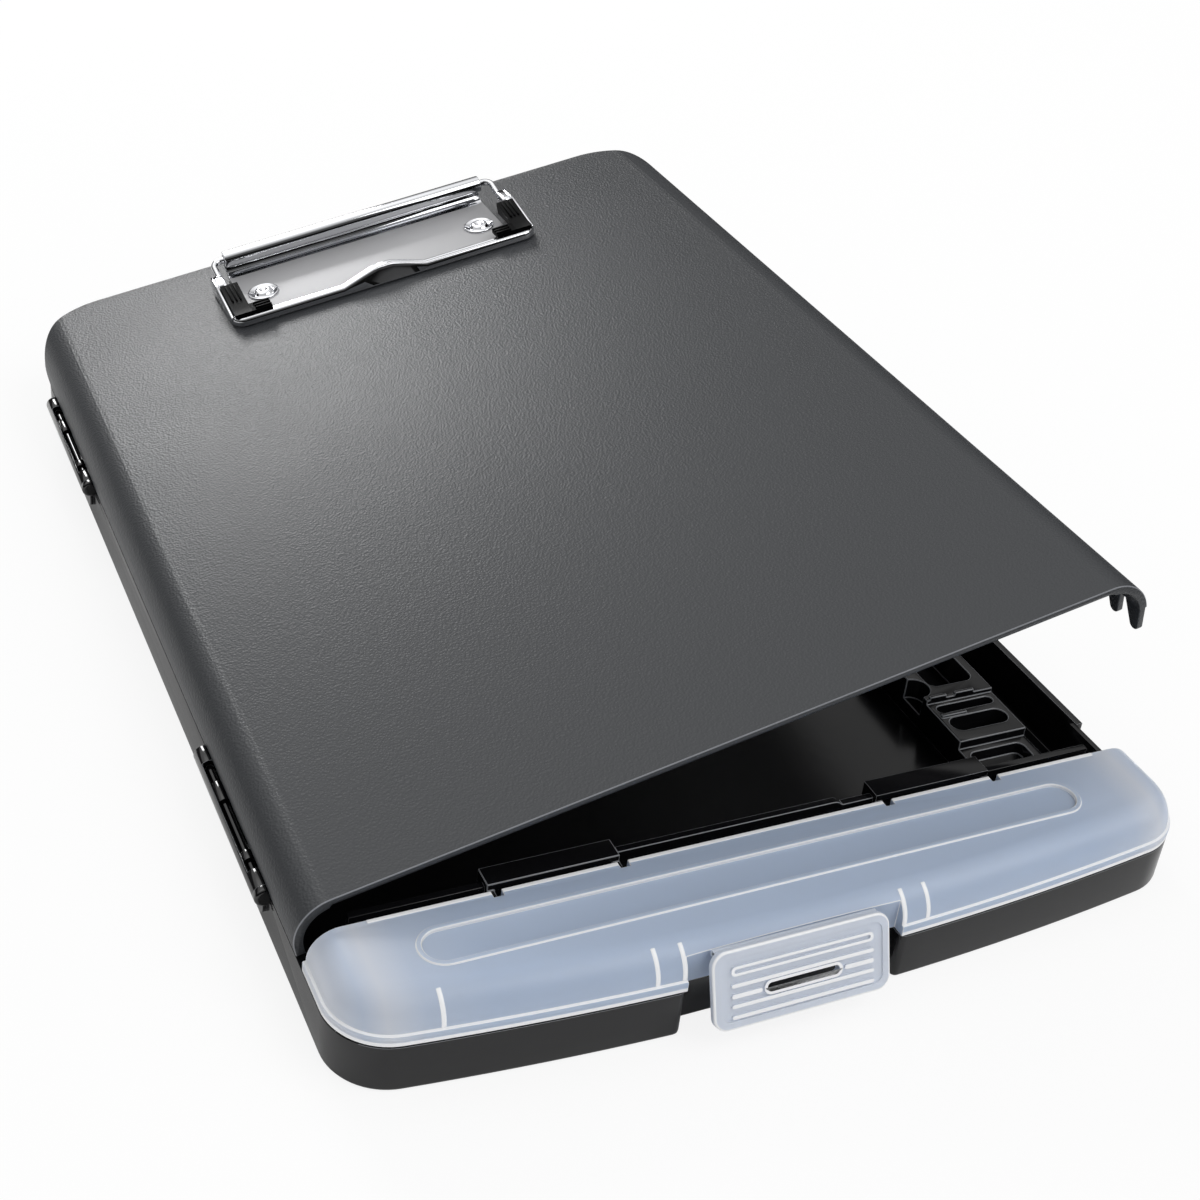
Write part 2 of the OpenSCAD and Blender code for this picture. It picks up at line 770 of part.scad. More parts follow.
tray_shell();
organizer_insert();
tray_leaf_front();
tray_leaf_rear();
hinge_pin_front();
hinge_pin_rear();
hinge_cap_front();
hinge_cap_rear();
pivot_block_left();
pivot_block_right();
pivot_pin_left();
pivot_pin_right();
cover_panel();
cover_leaf_front();
cover_leaf_rear();
clip_base_plate();
clip_rivets();
clip_washers();
clip_spring();
jaw_frame();
jaw_wire();
corner_pad_left();
corner_pad_right();
pencil_lid();
latch_tab();
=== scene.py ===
"""Looks of a storage clipboard box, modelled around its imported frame.

Shapes are worked in millimetres and laid down in metres at the end of each piece.
X runs to the right, Y towards the clip and Z up, with the base on z = 0.
"""

import logging
import math
from collections.abc import Callable, Iterator, Sequence
from contextlib import contextmanager
from dataclasses import dataclass
from enum import Enum

import bmesh
import bpy
from bmesh.types import BMEdge, BMFace, BMVert
from bpy.types import Material, Node, NodeSocket, NodeTree, Object
from mathutils import Matrix, Vector

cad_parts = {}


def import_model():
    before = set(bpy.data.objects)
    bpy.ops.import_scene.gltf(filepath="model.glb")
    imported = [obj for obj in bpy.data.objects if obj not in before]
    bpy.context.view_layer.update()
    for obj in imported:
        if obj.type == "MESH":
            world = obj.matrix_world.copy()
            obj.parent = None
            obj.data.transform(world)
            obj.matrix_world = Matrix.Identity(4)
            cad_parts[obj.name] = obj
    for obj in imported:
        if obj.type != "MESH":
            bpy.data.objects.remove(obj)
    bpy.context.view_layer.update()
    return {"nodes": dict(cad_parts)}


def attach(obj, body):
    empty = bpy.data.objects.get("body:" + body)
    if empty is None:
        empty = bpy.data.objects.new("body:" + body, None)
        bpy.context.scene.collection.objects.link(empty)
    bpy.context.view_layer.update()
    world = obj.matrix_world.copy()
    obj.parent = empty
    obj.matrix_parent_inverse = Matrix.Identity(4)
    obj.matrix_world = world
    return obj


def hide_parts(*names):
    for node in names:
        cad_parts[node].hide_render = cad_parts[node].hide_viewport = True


LOG = logging.getLogger("clipboard_box")
MM = 0.001

Point = tuple[float, float, float]
Flat = tuple[float, float]
EdgeTest = Callable[[BMEdge], bool]
FaceTest = Callable[[Vector, Vector], bool]


class Body(Enum):
    """The moving bodies of the frame."""

    TRAY = "tray"
    COVER = "cover"
    JAW = "jaw"
    LID = "lid"
    TAB = "tab"


class Axis(Enum):
    """Main directions of the frame."""

    X = (1.0, 0.0, 0.0)
    Y = (0.0, 1.0, 0.0)
    Z = (0.0, 0.0, 1.0)


def linear(code: str) -> tuple[float, float, float, float]:
    """Turns an sRGB hex colour into linear values.

    Args:
        code: colour such as "#3a3b3d".

    Returns:
        Red, green, blue and alpha for a shader socket.
    """
    parts = [int(code[i : i + 2], 16) / 255 for i in (1, 3, 5)]
    r, g, b = (c / 12.92 if c <= 0.04045 else ((c + 0.055) / 1.055) ** 2.4 for c in parts)
    return (r, g, b, 1.0)


# ---- finishes ----


def add_node(
    tree: NodeTree,
    kind: str,
    values: dict[str | int, object] | None = None,
    links: dict[str | int, Node | NodeSocket] | None = None,
    stops: Sequence[Flat] = (),
    **settings: object,
) -> Node:
    """Adds a shader node with its settings, fixed values and links.

    Args:
        tree: node tree that gets the node.
        kind: type name of the node, without ShaderNode in front.
        values: fixed numbers or colours by input.
        links: what feeds each input: a socket, or a node for its first output.
        stops: place and level of each grey stop, where the node is a ramp.
        settings: properties of the node itself.

    Returns:
        The new node.
    """
    made = tree.nodes.new("ShaderNode" + kind)
    for name, value in settings.items():
        setattr(made, name, value)
    for name, value in (values or {}).items():
        made.inputs[name].default_value = value
    for name, source in (links or {}).items():
        socket = source.outputs[0] if isinstance(source, Node) else source
        tree.links.new(socket, made.inputs[name])
    if stops:
        elements = made.color_ramp.elements
        for place, level in stops:
            elements.new(place).color = (level, level, level, 1)
        elements.remove(elements[0])
        elements.remove(elements[-1])
    return made


def extrude(way: Sequence[float]) -> None:
    """Extrudes what is selected in edit mode."""
    bpy.ops.mesh.extrude_region_move(TRANSFORM_OT_translate={"value": way})


@dataclass(frozen=True)
class Finish:
    """A surface finish with a fine relief and a slight drift of its gloss."""

    name: str
    colour: str
    roughness: float
    ior: float = 1.5
    metallic: float = 0.0
    transmission: float = 0.0
    grain_mm: float = 0.5
    relief_mm: float = 0.0
    mottle: float = 0.04
    drift_mm: float = 35.0
    coat: float = 0.0
    coat_roughness: float = 0.05
    pebbles: bool = False
    pale: tuple[Flat, ...] = ()

    def build(self) -> Material:
        """Makes the material, or finds it where another piece has it.

        Returns:
            The material, ready to be put on a piece.
        """
        found = bpy.data.materials.get(self.name)
        if found:
            return found
        material = bpy.data.materials.new(self.name)
        material.use_nodes = True
        tree = material.node_tree
        shader = tree.nodes["Principled BSDF"]
        colour = linear(self.colour)
        fixed = {
            "Base Color": colour,
            "Metallic": self.metallic,
            "Roughness": self.roughness,
            "Transmission Weight": self.transmission,
            "Coat Weight": self.coat,
            "Coat Roughness": self.coat_roughness,
        }
        if not self.metallic:
            fixed["IOR"] = self.ior
        for name, value in fixed.items():
            shader.inputs[name].default_value = value
        where = add_node(tree, "TexCoord").outputs["Object"]
        drift = add_node(
            tree,
            "TexNoise",
            {"Scale": 1 / (self.drift_mm * MM), "Detail": 3.0, "Roughness": 0.55},
            {"Vector": where},
        )
        m = self.mottle
        shade = add_node(tree, "MapRange", {"To Min": 1 - m, "To Max": 1 + m}, {"Value": drift})
        tint = add_node(tree, "VectorMath", {0: colour[:3]}, {"Scale": shade}, operation="SCALE")
        dull, shiny = self.roughness * (1 + 2 * m), self.roughness * (1 - 2 * m)
        gloss = add_node(tree, "MapRange", {"To Min": shiny, "To Max": dull}, {"Value": drift})
        colour_out = self.pale_ends(tree, where, tint) if self.pale else tint.outputs["Vector"]
        tree.links.new(colour_out, shader.inputs["Base Color"])
        tree.links.new(gloss.outputs["Result"], shader.inputs["Roughness"])
        if self.relief_mm:
            relief = self.relief(tree, where)
            tree.links.new(relief.outputs["Normal"], shader.inputs["Normal"])
        return material

    def pale_ends(
        self, tree: NodeTree, where: NodeSocket, tint: Node
    ) -> NodeSocket:
        """Whitens the colour towards both ends, where the curved walls gather light.

        Args:
            tree: node tree of the material.
            where: the object coordinates.
            tint: node that gives the plain colour.

        Returns:
            The socket with the whitened colour.
        """
        split = add_node(tree, "SeparateXYZ", None, {"Vector": where})
        out = add_node(tree, "Math", None, {0: split.outputs["X"]}, operation="ABSOLUTE")
        along = add_node(tree, "Math", {1: 1 / (PLAN.half_w * MM)}, {0: out}, operation="MULTIPLY")
        rise = add_node(tree, "ValToRGB", None, {"Fac": along}, self.pale)
        white = (0.93, 0.95, 1.0, 1)
        pale = add_node(tree, "Mix", {"B": white}, {"Factor": rise, 6: tint}, data_type="RGBA")
        return pale.outputs[2]

    def relief(self, tree: NodeTree, where: NodeSocket) -> Node:
        """Adds the fine relief of the surface.

        Args:
            tree: node tree of the material.
            where: the object coordinates.

        Returns:
            The node that gives the normal.
        """
        kind, scale = "TexNoise", {"Scale": 1 / (self.grain_mm * MM), "Detail": 2.0}
        settings = {}
        if self.pebbles:
            kind, scale = "TexVoronoi", {"Scale": 1 / (self.grain_mm * MM), "Smoothness": 0.5}
            settings["feature"] = "SMOOTH_F1"
        grains = add_node(tree, kind, scale, {"Vector": where}, **settings)
        depth = {"Strength": 1.0, "Distance": self.relief_mm * MM}
        return add_node(tree, "Bump", depth, {"Height": grains})


class Finishes:
    """Every finish on the box."""

    # moulded ABS with a leather-like texture etched in the mould: dark, satin, softly pebbled
    COVER = Finish(
        "grained_abs_cover", "#35373a", 0.43,
        grain_mm=0.75, relief_mm=0.11, mottle=0.03, pebbles=True,
    )
    # painted highlight: a lighter copy of the cover's ABS, without its grain, on the rounding
    # along the front edge, drawing the light line that the edge catches
    COVER_EDGE_HIGHLIGHT = Finish("cover_edge_painted_highlight", "#7e8085", 0.3, mottle=0.05)
    # high-impact polystyrene from a polished mould: deep black with clear reflections
    TRAY = Finish(
        "polished_polystyrene_tray", "#0f0f11", 0.17, grain_mm=6.0, relief_mm=0.02, mottle=0.06
    )
    # painted highlight: a lighter copy of the black polystyrene on rounded edges, drawing the
    # bright lines that glossy black edges catch
    BLACK_EDGE_HIGHLIGHT = Finish("black_edge_painted_highlight", "#85878b", 0.2, mottle=0.06)
    # glossy black acetal of the hinges: sharp bright reflections
    HINGE = Finish("glossy_acetal_hinge", "#08080a", 0.10, coat=0.5, mottle=0.05)
    # chromed spring steel: mirror bright
    CHROME = Finish("chromed_steel_clip", "#e6e7ea", 0.06, metallic=1.0, mottle=0.05)
    # nickel-plated steel sheet under a satin lacquer: an even light grey
    PLATE = Finish("lacquered_nickel_steel", "#b9b9bb", 0.36, metallic=0.1, mottle=0.03)
    # black moulded nylon of the pads
    PAD = Finish("moulded_nylon_pad", "#050506", 0.4, ior=1.13, mottle=0.05)
    # frosted polypropylene: milky, lets some light through
    FROST = Finish(
        "frosted_polypropylene", "#cfdff6", 0.36, ior=1.49, transmission=0.42,
        grain_mm=3.0, relief_mm=0.015, mottle=0.02,
        # pale: painted highlights, whiter bands towards both ends by place across the lid
        pale=((0.70, 0.0), (0.83, 0.2), (0.905, 0.75), (0.945, 0.3), (0.99, 0.8)),
    )
    # the thin tab of the same polypropylene: one wall only, so paler
    FROST_TAB = Finish(
        "frosted_polypropylene_tab", "#e9f0fc", 0.34, ior=1.49, transmission=0.32,
        grain_mm=3.0, relief_mm=0.01, mottle=0.02,
    )
    # the same polypropylene where it is thick or seen on edge: denser, and whiter as a painted
    # glow that draws the bright lines where light runs through rims, ribs and blades
    FROST_EDGE_GLOW = Finish(
        "frosted_polypropylene_painted_glow", "#fcfdff", 0.30, ior=1.49, transmission=0.05,
        grain_mm=3.0, relief_mm=0.015, mottle=0.02,
    )


# ---- bench tools ----


class Piece:
    """A mesh being modelled, in millimetres until it is laid down."""

    def __init__(self, made: Object, name: str) -> None:
        """Takes over an object.

        Args:
            made: object to work on.
            name: name of the piece.
        """
        self.object = made
        made.name = name
        made.data.name = name

    @staticmethod
    def clear() -> None:
        """Deselects everything."""
        if bpy.context.object and bpy.context.object.mode != "OBJECT":
            bpy.ops.object.mode_set(mode="OBJECT")
        bpy.ops.object.select_all(action="DESELECT")

    def focus(self) -> None:
        """Selects this piece alone."""
        self.clear()
        bpy.context.view_layer.objects.active = self.object
        self.object.select_set(True)

    @classmethod
    def take(cls, name: str) -> "Piece":
        """Takes over the object just added, with its place worked into the mesh."""
        bpy.ops.object.transform_apply(location=True, rotation=True, scale=True)
        return cls(bpy.context.object, name)

    @classmethod
    def block(cls, name: str, low: Point, high: Point) -> "Piece":
        """Adds a block between two corners.

        Args:
            name: name of the piece.
            low: lowest corner.
            high: highest corner.

        Returns:
            The new piece.
        """
        cls.clear()
        size = [h - l for l, h in zip(low, high)]
        middle = [(h + l) / 2 for l, h in zip(low, high)]
        bpy.ops.mesh.primitive_cube_add(size=1, location=middle, scale=size)
        return cls.take(name)

    @classmethod
    def rod(
        cls, name: str, radius: float, start: Point, length: float, axis: Axis, sides: int = 48
    ) -> "Piece":
        """Adds a rod that starts at a point and runs along an axis.

        Args:
            name: name of the piece.
            radius: radius of the rod.
            start: middle of its first end.
            length: its length.
            axis: direction it runs in.
            sides: number of sides.

        Returns:
            The new piece.
        """
        cls.clear()
        way = Vector(axis.value)
        middle, turn = Vector(start) + way * length / 2, way.to_track_quat("Z", "Y").to_euler()
        bpy.ops.mesh.primitive_cylinder_add(
            vertices=sides, radius=radius, depth=length, location=middle, rotation=turn
        )
        return cls.take(name)

    @classmethod
    def trace(cls, name: str, points: Sequence[Point], closed: bool = False) -> "Piece":
        """Draws a line through points by extruding one vertex from each to the next.

        Args:
            name: name of the piece.
            points: points of the line.
            closed: whether the last point joins the first and the loop is filled.

        Returns:
            The new piece, with the line selected.
        """
        cls.clear()
        bpy.ops.mesh.primitive_plane_add(size=1, location=points[0])
        piece = cls.take(name)
        with piece.editing("VERT"):
            bpy.ops.mesh.merge(type="CENTER")
            for a, b in zip(points, points[1:]):
                extrude(Vector(b) - Vector(a))
            bpy.ops.mesh.select_all(action="SELECT")
            if closed:
                bpy.ops.mesh.edge_face_add()
        return piece

    @classmethod
    def prism(cls, name: str, points: Sequence[Point], way: Point) -> "Piece":
        """Models a closed volume by extruding a filled loop.

        Args:
            name: name of the piece.
            points: points of the loop.
            way: how far it is extruded, along each axis.

        Returns:
            The new piece.
        """
        piece = cls.trace(name, points, closed=True)
        with piece.editing("FACE"):
            extrude(way)
        return piece.outward()

    @classmethod
    def from_node(cls, node: str) -> "Piece":
        """Copies a node of the frame with its loose triangles merged into clean flats.

        Args:
            node: node of the frame.

        Returns:
            The copy, in millimetres, named after the node.
        """
        name = node.replace("_insert", "") + "_moulding"
        made = bpy.data.objects.new(name, bpy.data.objects[node].data.copy())
        bpy.context.scene.collection.objects.link(made)
        made.data.materials.clear()
        made.data.transform(Matrix.Scale(1 / MM, 4))
        piece = cls(made, name)
        with piece.editing("VERT"):
            bpy.ops.mesh.customdata_custom_splitnormals_clear()
            bpy.ops.mesh.remove_doubles(threshold=0.002)
            bpy.ops.mesh.dissolve_limited(angle_limit=math.radians(0.6))
        return piece

    @contextmanager
    def editing(self, mode: str, test: Callable[..., bool] | None = None) -> Iterator[None]:
        """Opens edit mode for the length of a block.

        Args:
            mode: what is selected: VERT, EDGE or FACE.
            test: whether an element is selected; where it is left out, all are.

        Yields:
            Nothing.
        """
        self.focus()
        bpy.ops.object.mode_set(mode="EDIT")
        bpy.ops.mesh.select_mode(type=mode)
        bpy.ops.mesh.select_all(action="DESELECT" if test else "SELECT")
        if test:
            mesh = bmesh.from_edit_mesh(self.object.data)
            for element in {"VERT": mesh.verts, "EDGE": mesh.edges, "FACE": mesh.faces}[mode]:
                element.select_set(test(element))
            mesh.select_flush_mode()
            bmesh.update_edit_mesh(self.object.data)
        yield
        bpy.ops.object.mode_set(mode="OBJECT")

    def fill(self, test: Callable[[BMVert], bool]) -> None:
        """Joins the vertices that pass a test by an edge or a face."""
        with self.editing("VERT", test):
            bpy.ops.mesh.edge_face_add()

    def sweep(self, legs: Sequence["Leg"], mode: str = "EDGE") -> "Piece":
        """Carries a whole line, or a whole face, along straight moves and turns.

        Args:
            legs: stretches of the path.
            mode: EDGE for a line, FACE for a face.

        Returns:
            This piece.
        """
        with self.editing(mode):
            for leg in legs:
                leg.carry()
            bpy.ops.mesh.select_all(action="SELECT")
            bpy.ops.mesh.remove_doubles(threshold=0.001)
        return self

    def modify(self, kind: str, **settings: object) -> "Piece":
        """Adds a modifier and applies it.

        Args:
            kind: type of the modifier.
            settings: its properties.

        Returns:
            This piece.
        """
        self.focus()
        made = self.object.modifiers.new(kind.title(), kind)
        for name, value in settings.items():
            setattr(made, name, value)
        bpy.ops.object.modifier_apply(modifier=made.name)
        return self

    def cut(self, tool: "Piece", operation: str = "DIFFERENCE") -> "Piece":
        """Cuts this piece with another, or joins it on, and throws the tool away.

        Args:
            tool: the other piece.
            operation: DIFFERENCE, UNION or INTERSECT.

        Returns:
            This piece.
        """
        self.modify("BOOLEAN", operation=operation, object=tool.object, solver="EXACT")
        bpy.data.objects.remove(tool.object)
        return self

    def add(self, *others: "Piece") -> "Piece":
        """Joins other pieces into this one as separate shells.

        Args:
            others: the pieces that are joined on.

        Returns:
            This piece.
        """
        for other in others:
            if not other.object.data.materials:
                for material in self.object.data.materials:
                    other.object.data.materials.append(material)
        self.focus()
        for other in others:
            other.object.select_set(True)
        bpy.ops.object.join()
        return self

    def coat(self, *finishes: Finish) -> "Piece":
        """Gives the piece its finishes, in the order of the face indices.

        Args:
            finishes: its finishes.

        Returns:
            This piece.
        """
        for finish in finishes:
            self.object.data.materials.append(finish.build())
        return self

    def repaint(self, index: int, test: FaceTest) -> "Piece":
        """Gives the faces that pass a test on middle and normal another finish.

        Args:
            index: index of the finish.
            test: test on a face's middle and normal.

        Returns:
            This piece.
        """
        for face in self.object.data.polygons:
            if test(face.center, face.normal):
                face.material_index = index
        return self

    def round_off(
        self, width: float, segments: int = 3, angle: float = 35.0, finish: int = -1
    ) -> "Piece":
        """Rounds every edge sharper than an angle.

        Args:
            width: width of the rounding.
            segments: flats across it.
            angle: angle in degrees above which an edge is rounded.
            finish: index of the finish on the rounding, or -1 for that of its neighbours.

        Returns:
            This piece.
        """
        return self.modify(
            "BEVEL", width=width, segments=segments, material=finish, miter_outer="MITER_ARC",
            limit_method="ANGLE", angle_limit=math.radians(angle),
            use_clamp_overlap=True, harden_normals=False,
        )

    def soften(self, test: EdgeTest, width: float, segments: int = 3, finish: int = -1) -> "Piece":
        """Rounds the edges that pass a test.

        Args:
            test: whether an edge is rounded.
            width: width of the rounding.
            segments: flats across the rounding.
            finish: index of the finish on the rounding, or -1 for that of its neighbours.

        Returns:
            This piece.
        """
        with self.editing("EDGE", test):
            bpy.ops.mesh.bevel(offset=width, segments=segments, affect="EDGES", material=finish)
        return self

    def outward(self) -> "Piece":
        """Merges doubles and turns every face outwards.

        Returns:
            This piece.
        """
        with self.editing("FACE"):
            bpy.ops.mesh.remove_doubles(threshold=0.001)
            bpy.ops.mesh.normals_make_consistent(inside=False)
        return self

    def place(self, matrix: Matrix) -> "Piece":
        """Moves or turns the mesh, in millimetres."""
        self.object.data.transform(matrix)
        return self

    def lay_down(self, body: Body, slot: str, node: str, smooth: float = 35.0) -> None:
        """Hangs the finished piece on its body, in metres.

        Args:
            body: body it moves with.
            slot: the record's material slot; not used.
            node: frame node that it stands for.
            smooth: angle in degrees below which edges are shaded smooth.
        """
        self.focus()
        made = self.object
        made.data.transform(Matrix.Scale(MM, 4))
        bpy.ops.object.shade_smooth_by_angle(angle=math.radians(smooth))
        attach(made, body.value)
        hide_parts(node)
        LOG.info("%s: %d faces on %s", made.name, len(made.data.polygons), body.value)


@dataclass(frozen=True)
class Leg:
    """One stretch of a path: a straight move, or a turn about an upright axis."""

    move: Flat | None = None
    centre: Flat | None = None
    degrees: float = 0.0
    steps: int = 12

    def carry(self) -> None:
        """Extrudes or spins what is selected along this stretch."""
        if self.move:
            extrude((*self.move, 0))
        elif self.centre:
            turn, middle = -math.radians(self.degrees), (*self.centre, 0)
            bpy.ops.mesh.spin(
                steps=self.steps, angle=turn, use_auto_merge=False, center=middle, axis=(0, 0, 1)
            )


def sharp(edge: BMEdge, degrees: float = 35.0) -> bool:
    """Whether two faces meet at an edge at more than an angle."""
    return len(edge.link_faces) == 2 and edge.calc_face_angle(0) > math.radians(degrees)


def arc(centre: Flat, radius: float, start: float, end: float, steps: int) -> list[Flat]:
    """Points of an arc.

    Args:
        centre: its centre.
        radius: its radius.
        start: first angle in degrees.
        end: last angle in degrees.
        steps: number of stretches.

    Returns:
        The points, both ends among them.
    """
    out = []
    for i in range(steps + 1):
        a = math.radians(start + (end - start) * i / steps)
        out.append((centre[0] + radius * math.cos(a), centre[1] + radius * math.sin(a)))
    return out


@dataclass
class Plan:
    """Outline of the body from above."""

    half_w: float = 125.0
    half_l: float = 187.5
    front_r: float = 17.5
    back_r: float = 27.0
    turn: float = 6.979
    cover_y: float = -145.1

    def __post_init__(self) -> None:
        """Works out the middles of the corners, and the middle and radius of the front bow."""
        turn = math.radians(self.turn)
        self.corner_x = self.half_w - self.front_r
        self.bow_r = self.front_r + self.corner_x / math.sin(turn)
        self.bow_y = self.bow_r - self.half_l
        self.corner_y = self.bow_y - self.corner_x / math.tan(turn)
        self.back_x = self.half_w - self.back_r
        self.back_y = self.half_l - self.back_r

    def back(self, inset: float, steps: int) -> list[Flat]:
        """Points round the back.

        Args:
            inset: distance inside the outer face.
            steps: number of stretches round each corner.

        Returns:
            The points, from the right to the left.
        """
        radius = self.back_r - inset
        right = arc((self.back_x, self.back_y), radius, 0, 90, steps)
        return right + arc((-self.back_x, self.back_y), radius, 90, 180, steps)

    def front(self, rear_y: float) -> list[Leg]:
        """Path round the front, from the left side at rear_y to the right side.

        Args:
            rear_y: where the path begins and ends.

        Returns:
            The stretches of the path.
        """
        side = rear_y - self.corner_y
        return [
            Leg(move=(0, -side)),
            Leg(centre=(-self.corner_x, self.corner_y), degrees=90 - self.turn, steps=16),
            Leg(centre=(0, self.bow_y), degrees=2 * self.turn, steps=24),
            Leg(centre=(self.corner_x, self.corner_y), degrees=90 - self.turn, steps=16),
            Leg(move=(0, side)),
        ]


PLAN = Plan()


@dataclass(frozen=True)
class Hang:
    """Where the ajar cover is turned to."""

    x: float = -126.3
    z: float = 15.0
    degrees: float = 12.7
    fronts: Flat = (-120.0, 89.0)
    length: float = 59.5
    cap: float = 2.3
    radius: float = 2.8
    flat: float = -124.1

    def matrix(self) -> Matrix:
        """Turn about the hinge line, in millimetres."""
        to = Matrix.Translation((self.x, 0, self.z))
        return to @ Matrix.Rotation(-math.radians(self.degrees), 4, "Y") @ to.inverted()

    def seat(self, front: float, room: float, flat: float) -> "Piece":
        """Models the room that a hinge takes up.

        Args:
            front: front end of the hinge.
            room: clearance round the barrel.
            flat: plane that bounds the room on the inner side.

        Returns:
            The room, as a closed volume.
        """
        y = front - self.cap - 0.3
        run = self.length + self.cap + 0.6
        piece = Piece.rod("seat", self.radius + room, (self.x, y, self.z), run, Axis.Y, 48)
        rest = Piece.block("rest", (flat, y - 1, -20), (flat + 60, y + run + 1, 60))
        return piece.cut(rest)


HANG = Hang()
COVER_TURN = HANG.matrix()
# middles of the lid's two pivots
PIVOTS: Flat = (-57.5, 57.5)


# ---- cover ----


@dataclass(frozen=True)
class CoverBoard:
    """The writing board: a grained skin with rolled edges and two snap prongs."""

    skin: float = 2.5
    roll: float = 12.0
    top: float = 29.5
    foot: float = 15.5
    short_foot: float = 18.1
    edge: float = 0.45

    def volume(self, inset: float, foot: float, front: float) -> Piece:
        """Models the room inside an inset of the board's outside.

        Args:
            inset: distance inside the outer face.
            foot: height of its underside.
            front: its front.

        Returns:
            The rolled section run along the board and trimmed to the plan.
        """
        r = self.roll - inset
        x, z = PLAN.half_w - self.roll, self.top - self.roll
        section = [(-x - r, foot)] + arc((-x, z), r, 180, 90, 16)
        section += arc((x, z), r, 90, 0, 16) + [(x + r, foot)]
        line = [(u, front, v) for u, v in section]
        piece = Piece.prism("cover_board", line, (0, PLAN.half_l + 5 - front, 0))
        side = PLAN.half_w - inset + 0.02
        flat = [(-side, front - 3), (side, front - 3)] + PLAN.back(inset, 24)
        plan = Piece.prism("cover_plan", [(u, v, foot - 1) for u, v in flat], (0, 0, 30))
        return piece.cut(plan, "INTERSECT")

    def board(self) -> Piece:
        """Models the skin.

        Returns:
            The skin, dressed, in its closed place.
        """
        front, inner = PLAN.cover_y, self.top - self.skin

        def folds(e: BMEdge) -> bool:
            """Whether an edge is one of the folds round the back."""
            ends = [v.co.y > PLAN.back_y - 40 and v.co.z > self.foot + 0.1 for v in e.verts]
            return sharp(e, 24) and all(ends)

        def inner_front(e: BMEdge) -> bool:
            """Whether an edge ends the underside at the front."""
            ends = [abs(v.co.y - front) < 0.05 and abs(v.co.z - inner) < 0.05 for v in e.verts]
            return sharp(e, 60) and all(ends)

        def outer_front(e: BMEdge) -> bool:
            """Whether an edge ends the outer face at the front."""
            ends = [abs(v.co.y - front) < 0.05 and self.outside(v.co) for v in e.verts]
            return sharp(e, 60) and all(ends)

        piece = self.volume(0, self.foot, front).soften(folds, 0.8)
        piece.cut(self.volume(self.skin, self.foot - 1, front - 1))
        low = (PLAN.half_w - self.roll, front - 2, 0)
        high = (PLAN.half_w + 2, PLAN.back_y, self.short_foot)
        piece.cut(Piece.block("right_foot", low, high)).soften(inner_front, 1.2)
        # the front edge's rounding gets the painted highlight finish
        piece.coat(Finishes.COVER, Finishes.COVER_EDGE_HIGHLIGHT).soften(outer_front, 0.28, 2, 1)
        for y in HANG.fronts:
            piece.cut(HANG.seat(y, 0.3, 0.0))
        return piece.round_off(self.edge, 3, 50)

    def outside(self, p: Vector) -> bool:
        """Whether a point lies on the outer face of the section.

        Args:
            p: the point.

        Returns:
            True where it does.
        """
        x, z = abs(p.x) - PLAN.half_w + self.roll, p.z - self.top + self.roll
        if x <= 0:
            return z > self.roll - 0.05
        return x > self.roll - 0.05 if z <= 0 else math.hypot(x, z) > self.roll - 0.1

    def prong(self, y: float, width: float) -> Piece:
        """Models one tapered snap prong with a round tip.

        Args:
            y: its front.
            width: its width at the root.

        Returns:
            The prong.
        """
        x = PLAN.half_w - 2.1
        root = self.top - self.roll + 2.5
        tip = arc((y + 2.7, 11.0), 1.9, 200, 350, 10)
        line = [(x, y + width, root), (x, y, root)] + [(x, u, v) for u, v in tip]
        return Piece.prism("cover_prong", line, (2.0, 0, 0)).round_off(0.4)

    def build(self) -> None:
        """Builds the board with its prongs."""
        board = self.board()
        board.add(self.prong(PLAN.cover_y + 0.1, 8.0), self.prong(PLAN.cover_y + 9.2, 7.4))
        board.place(COVER_TURN).lay_down(Body.COVER, "cover_grey", "cover_panel", 30)


# ---- tray ----


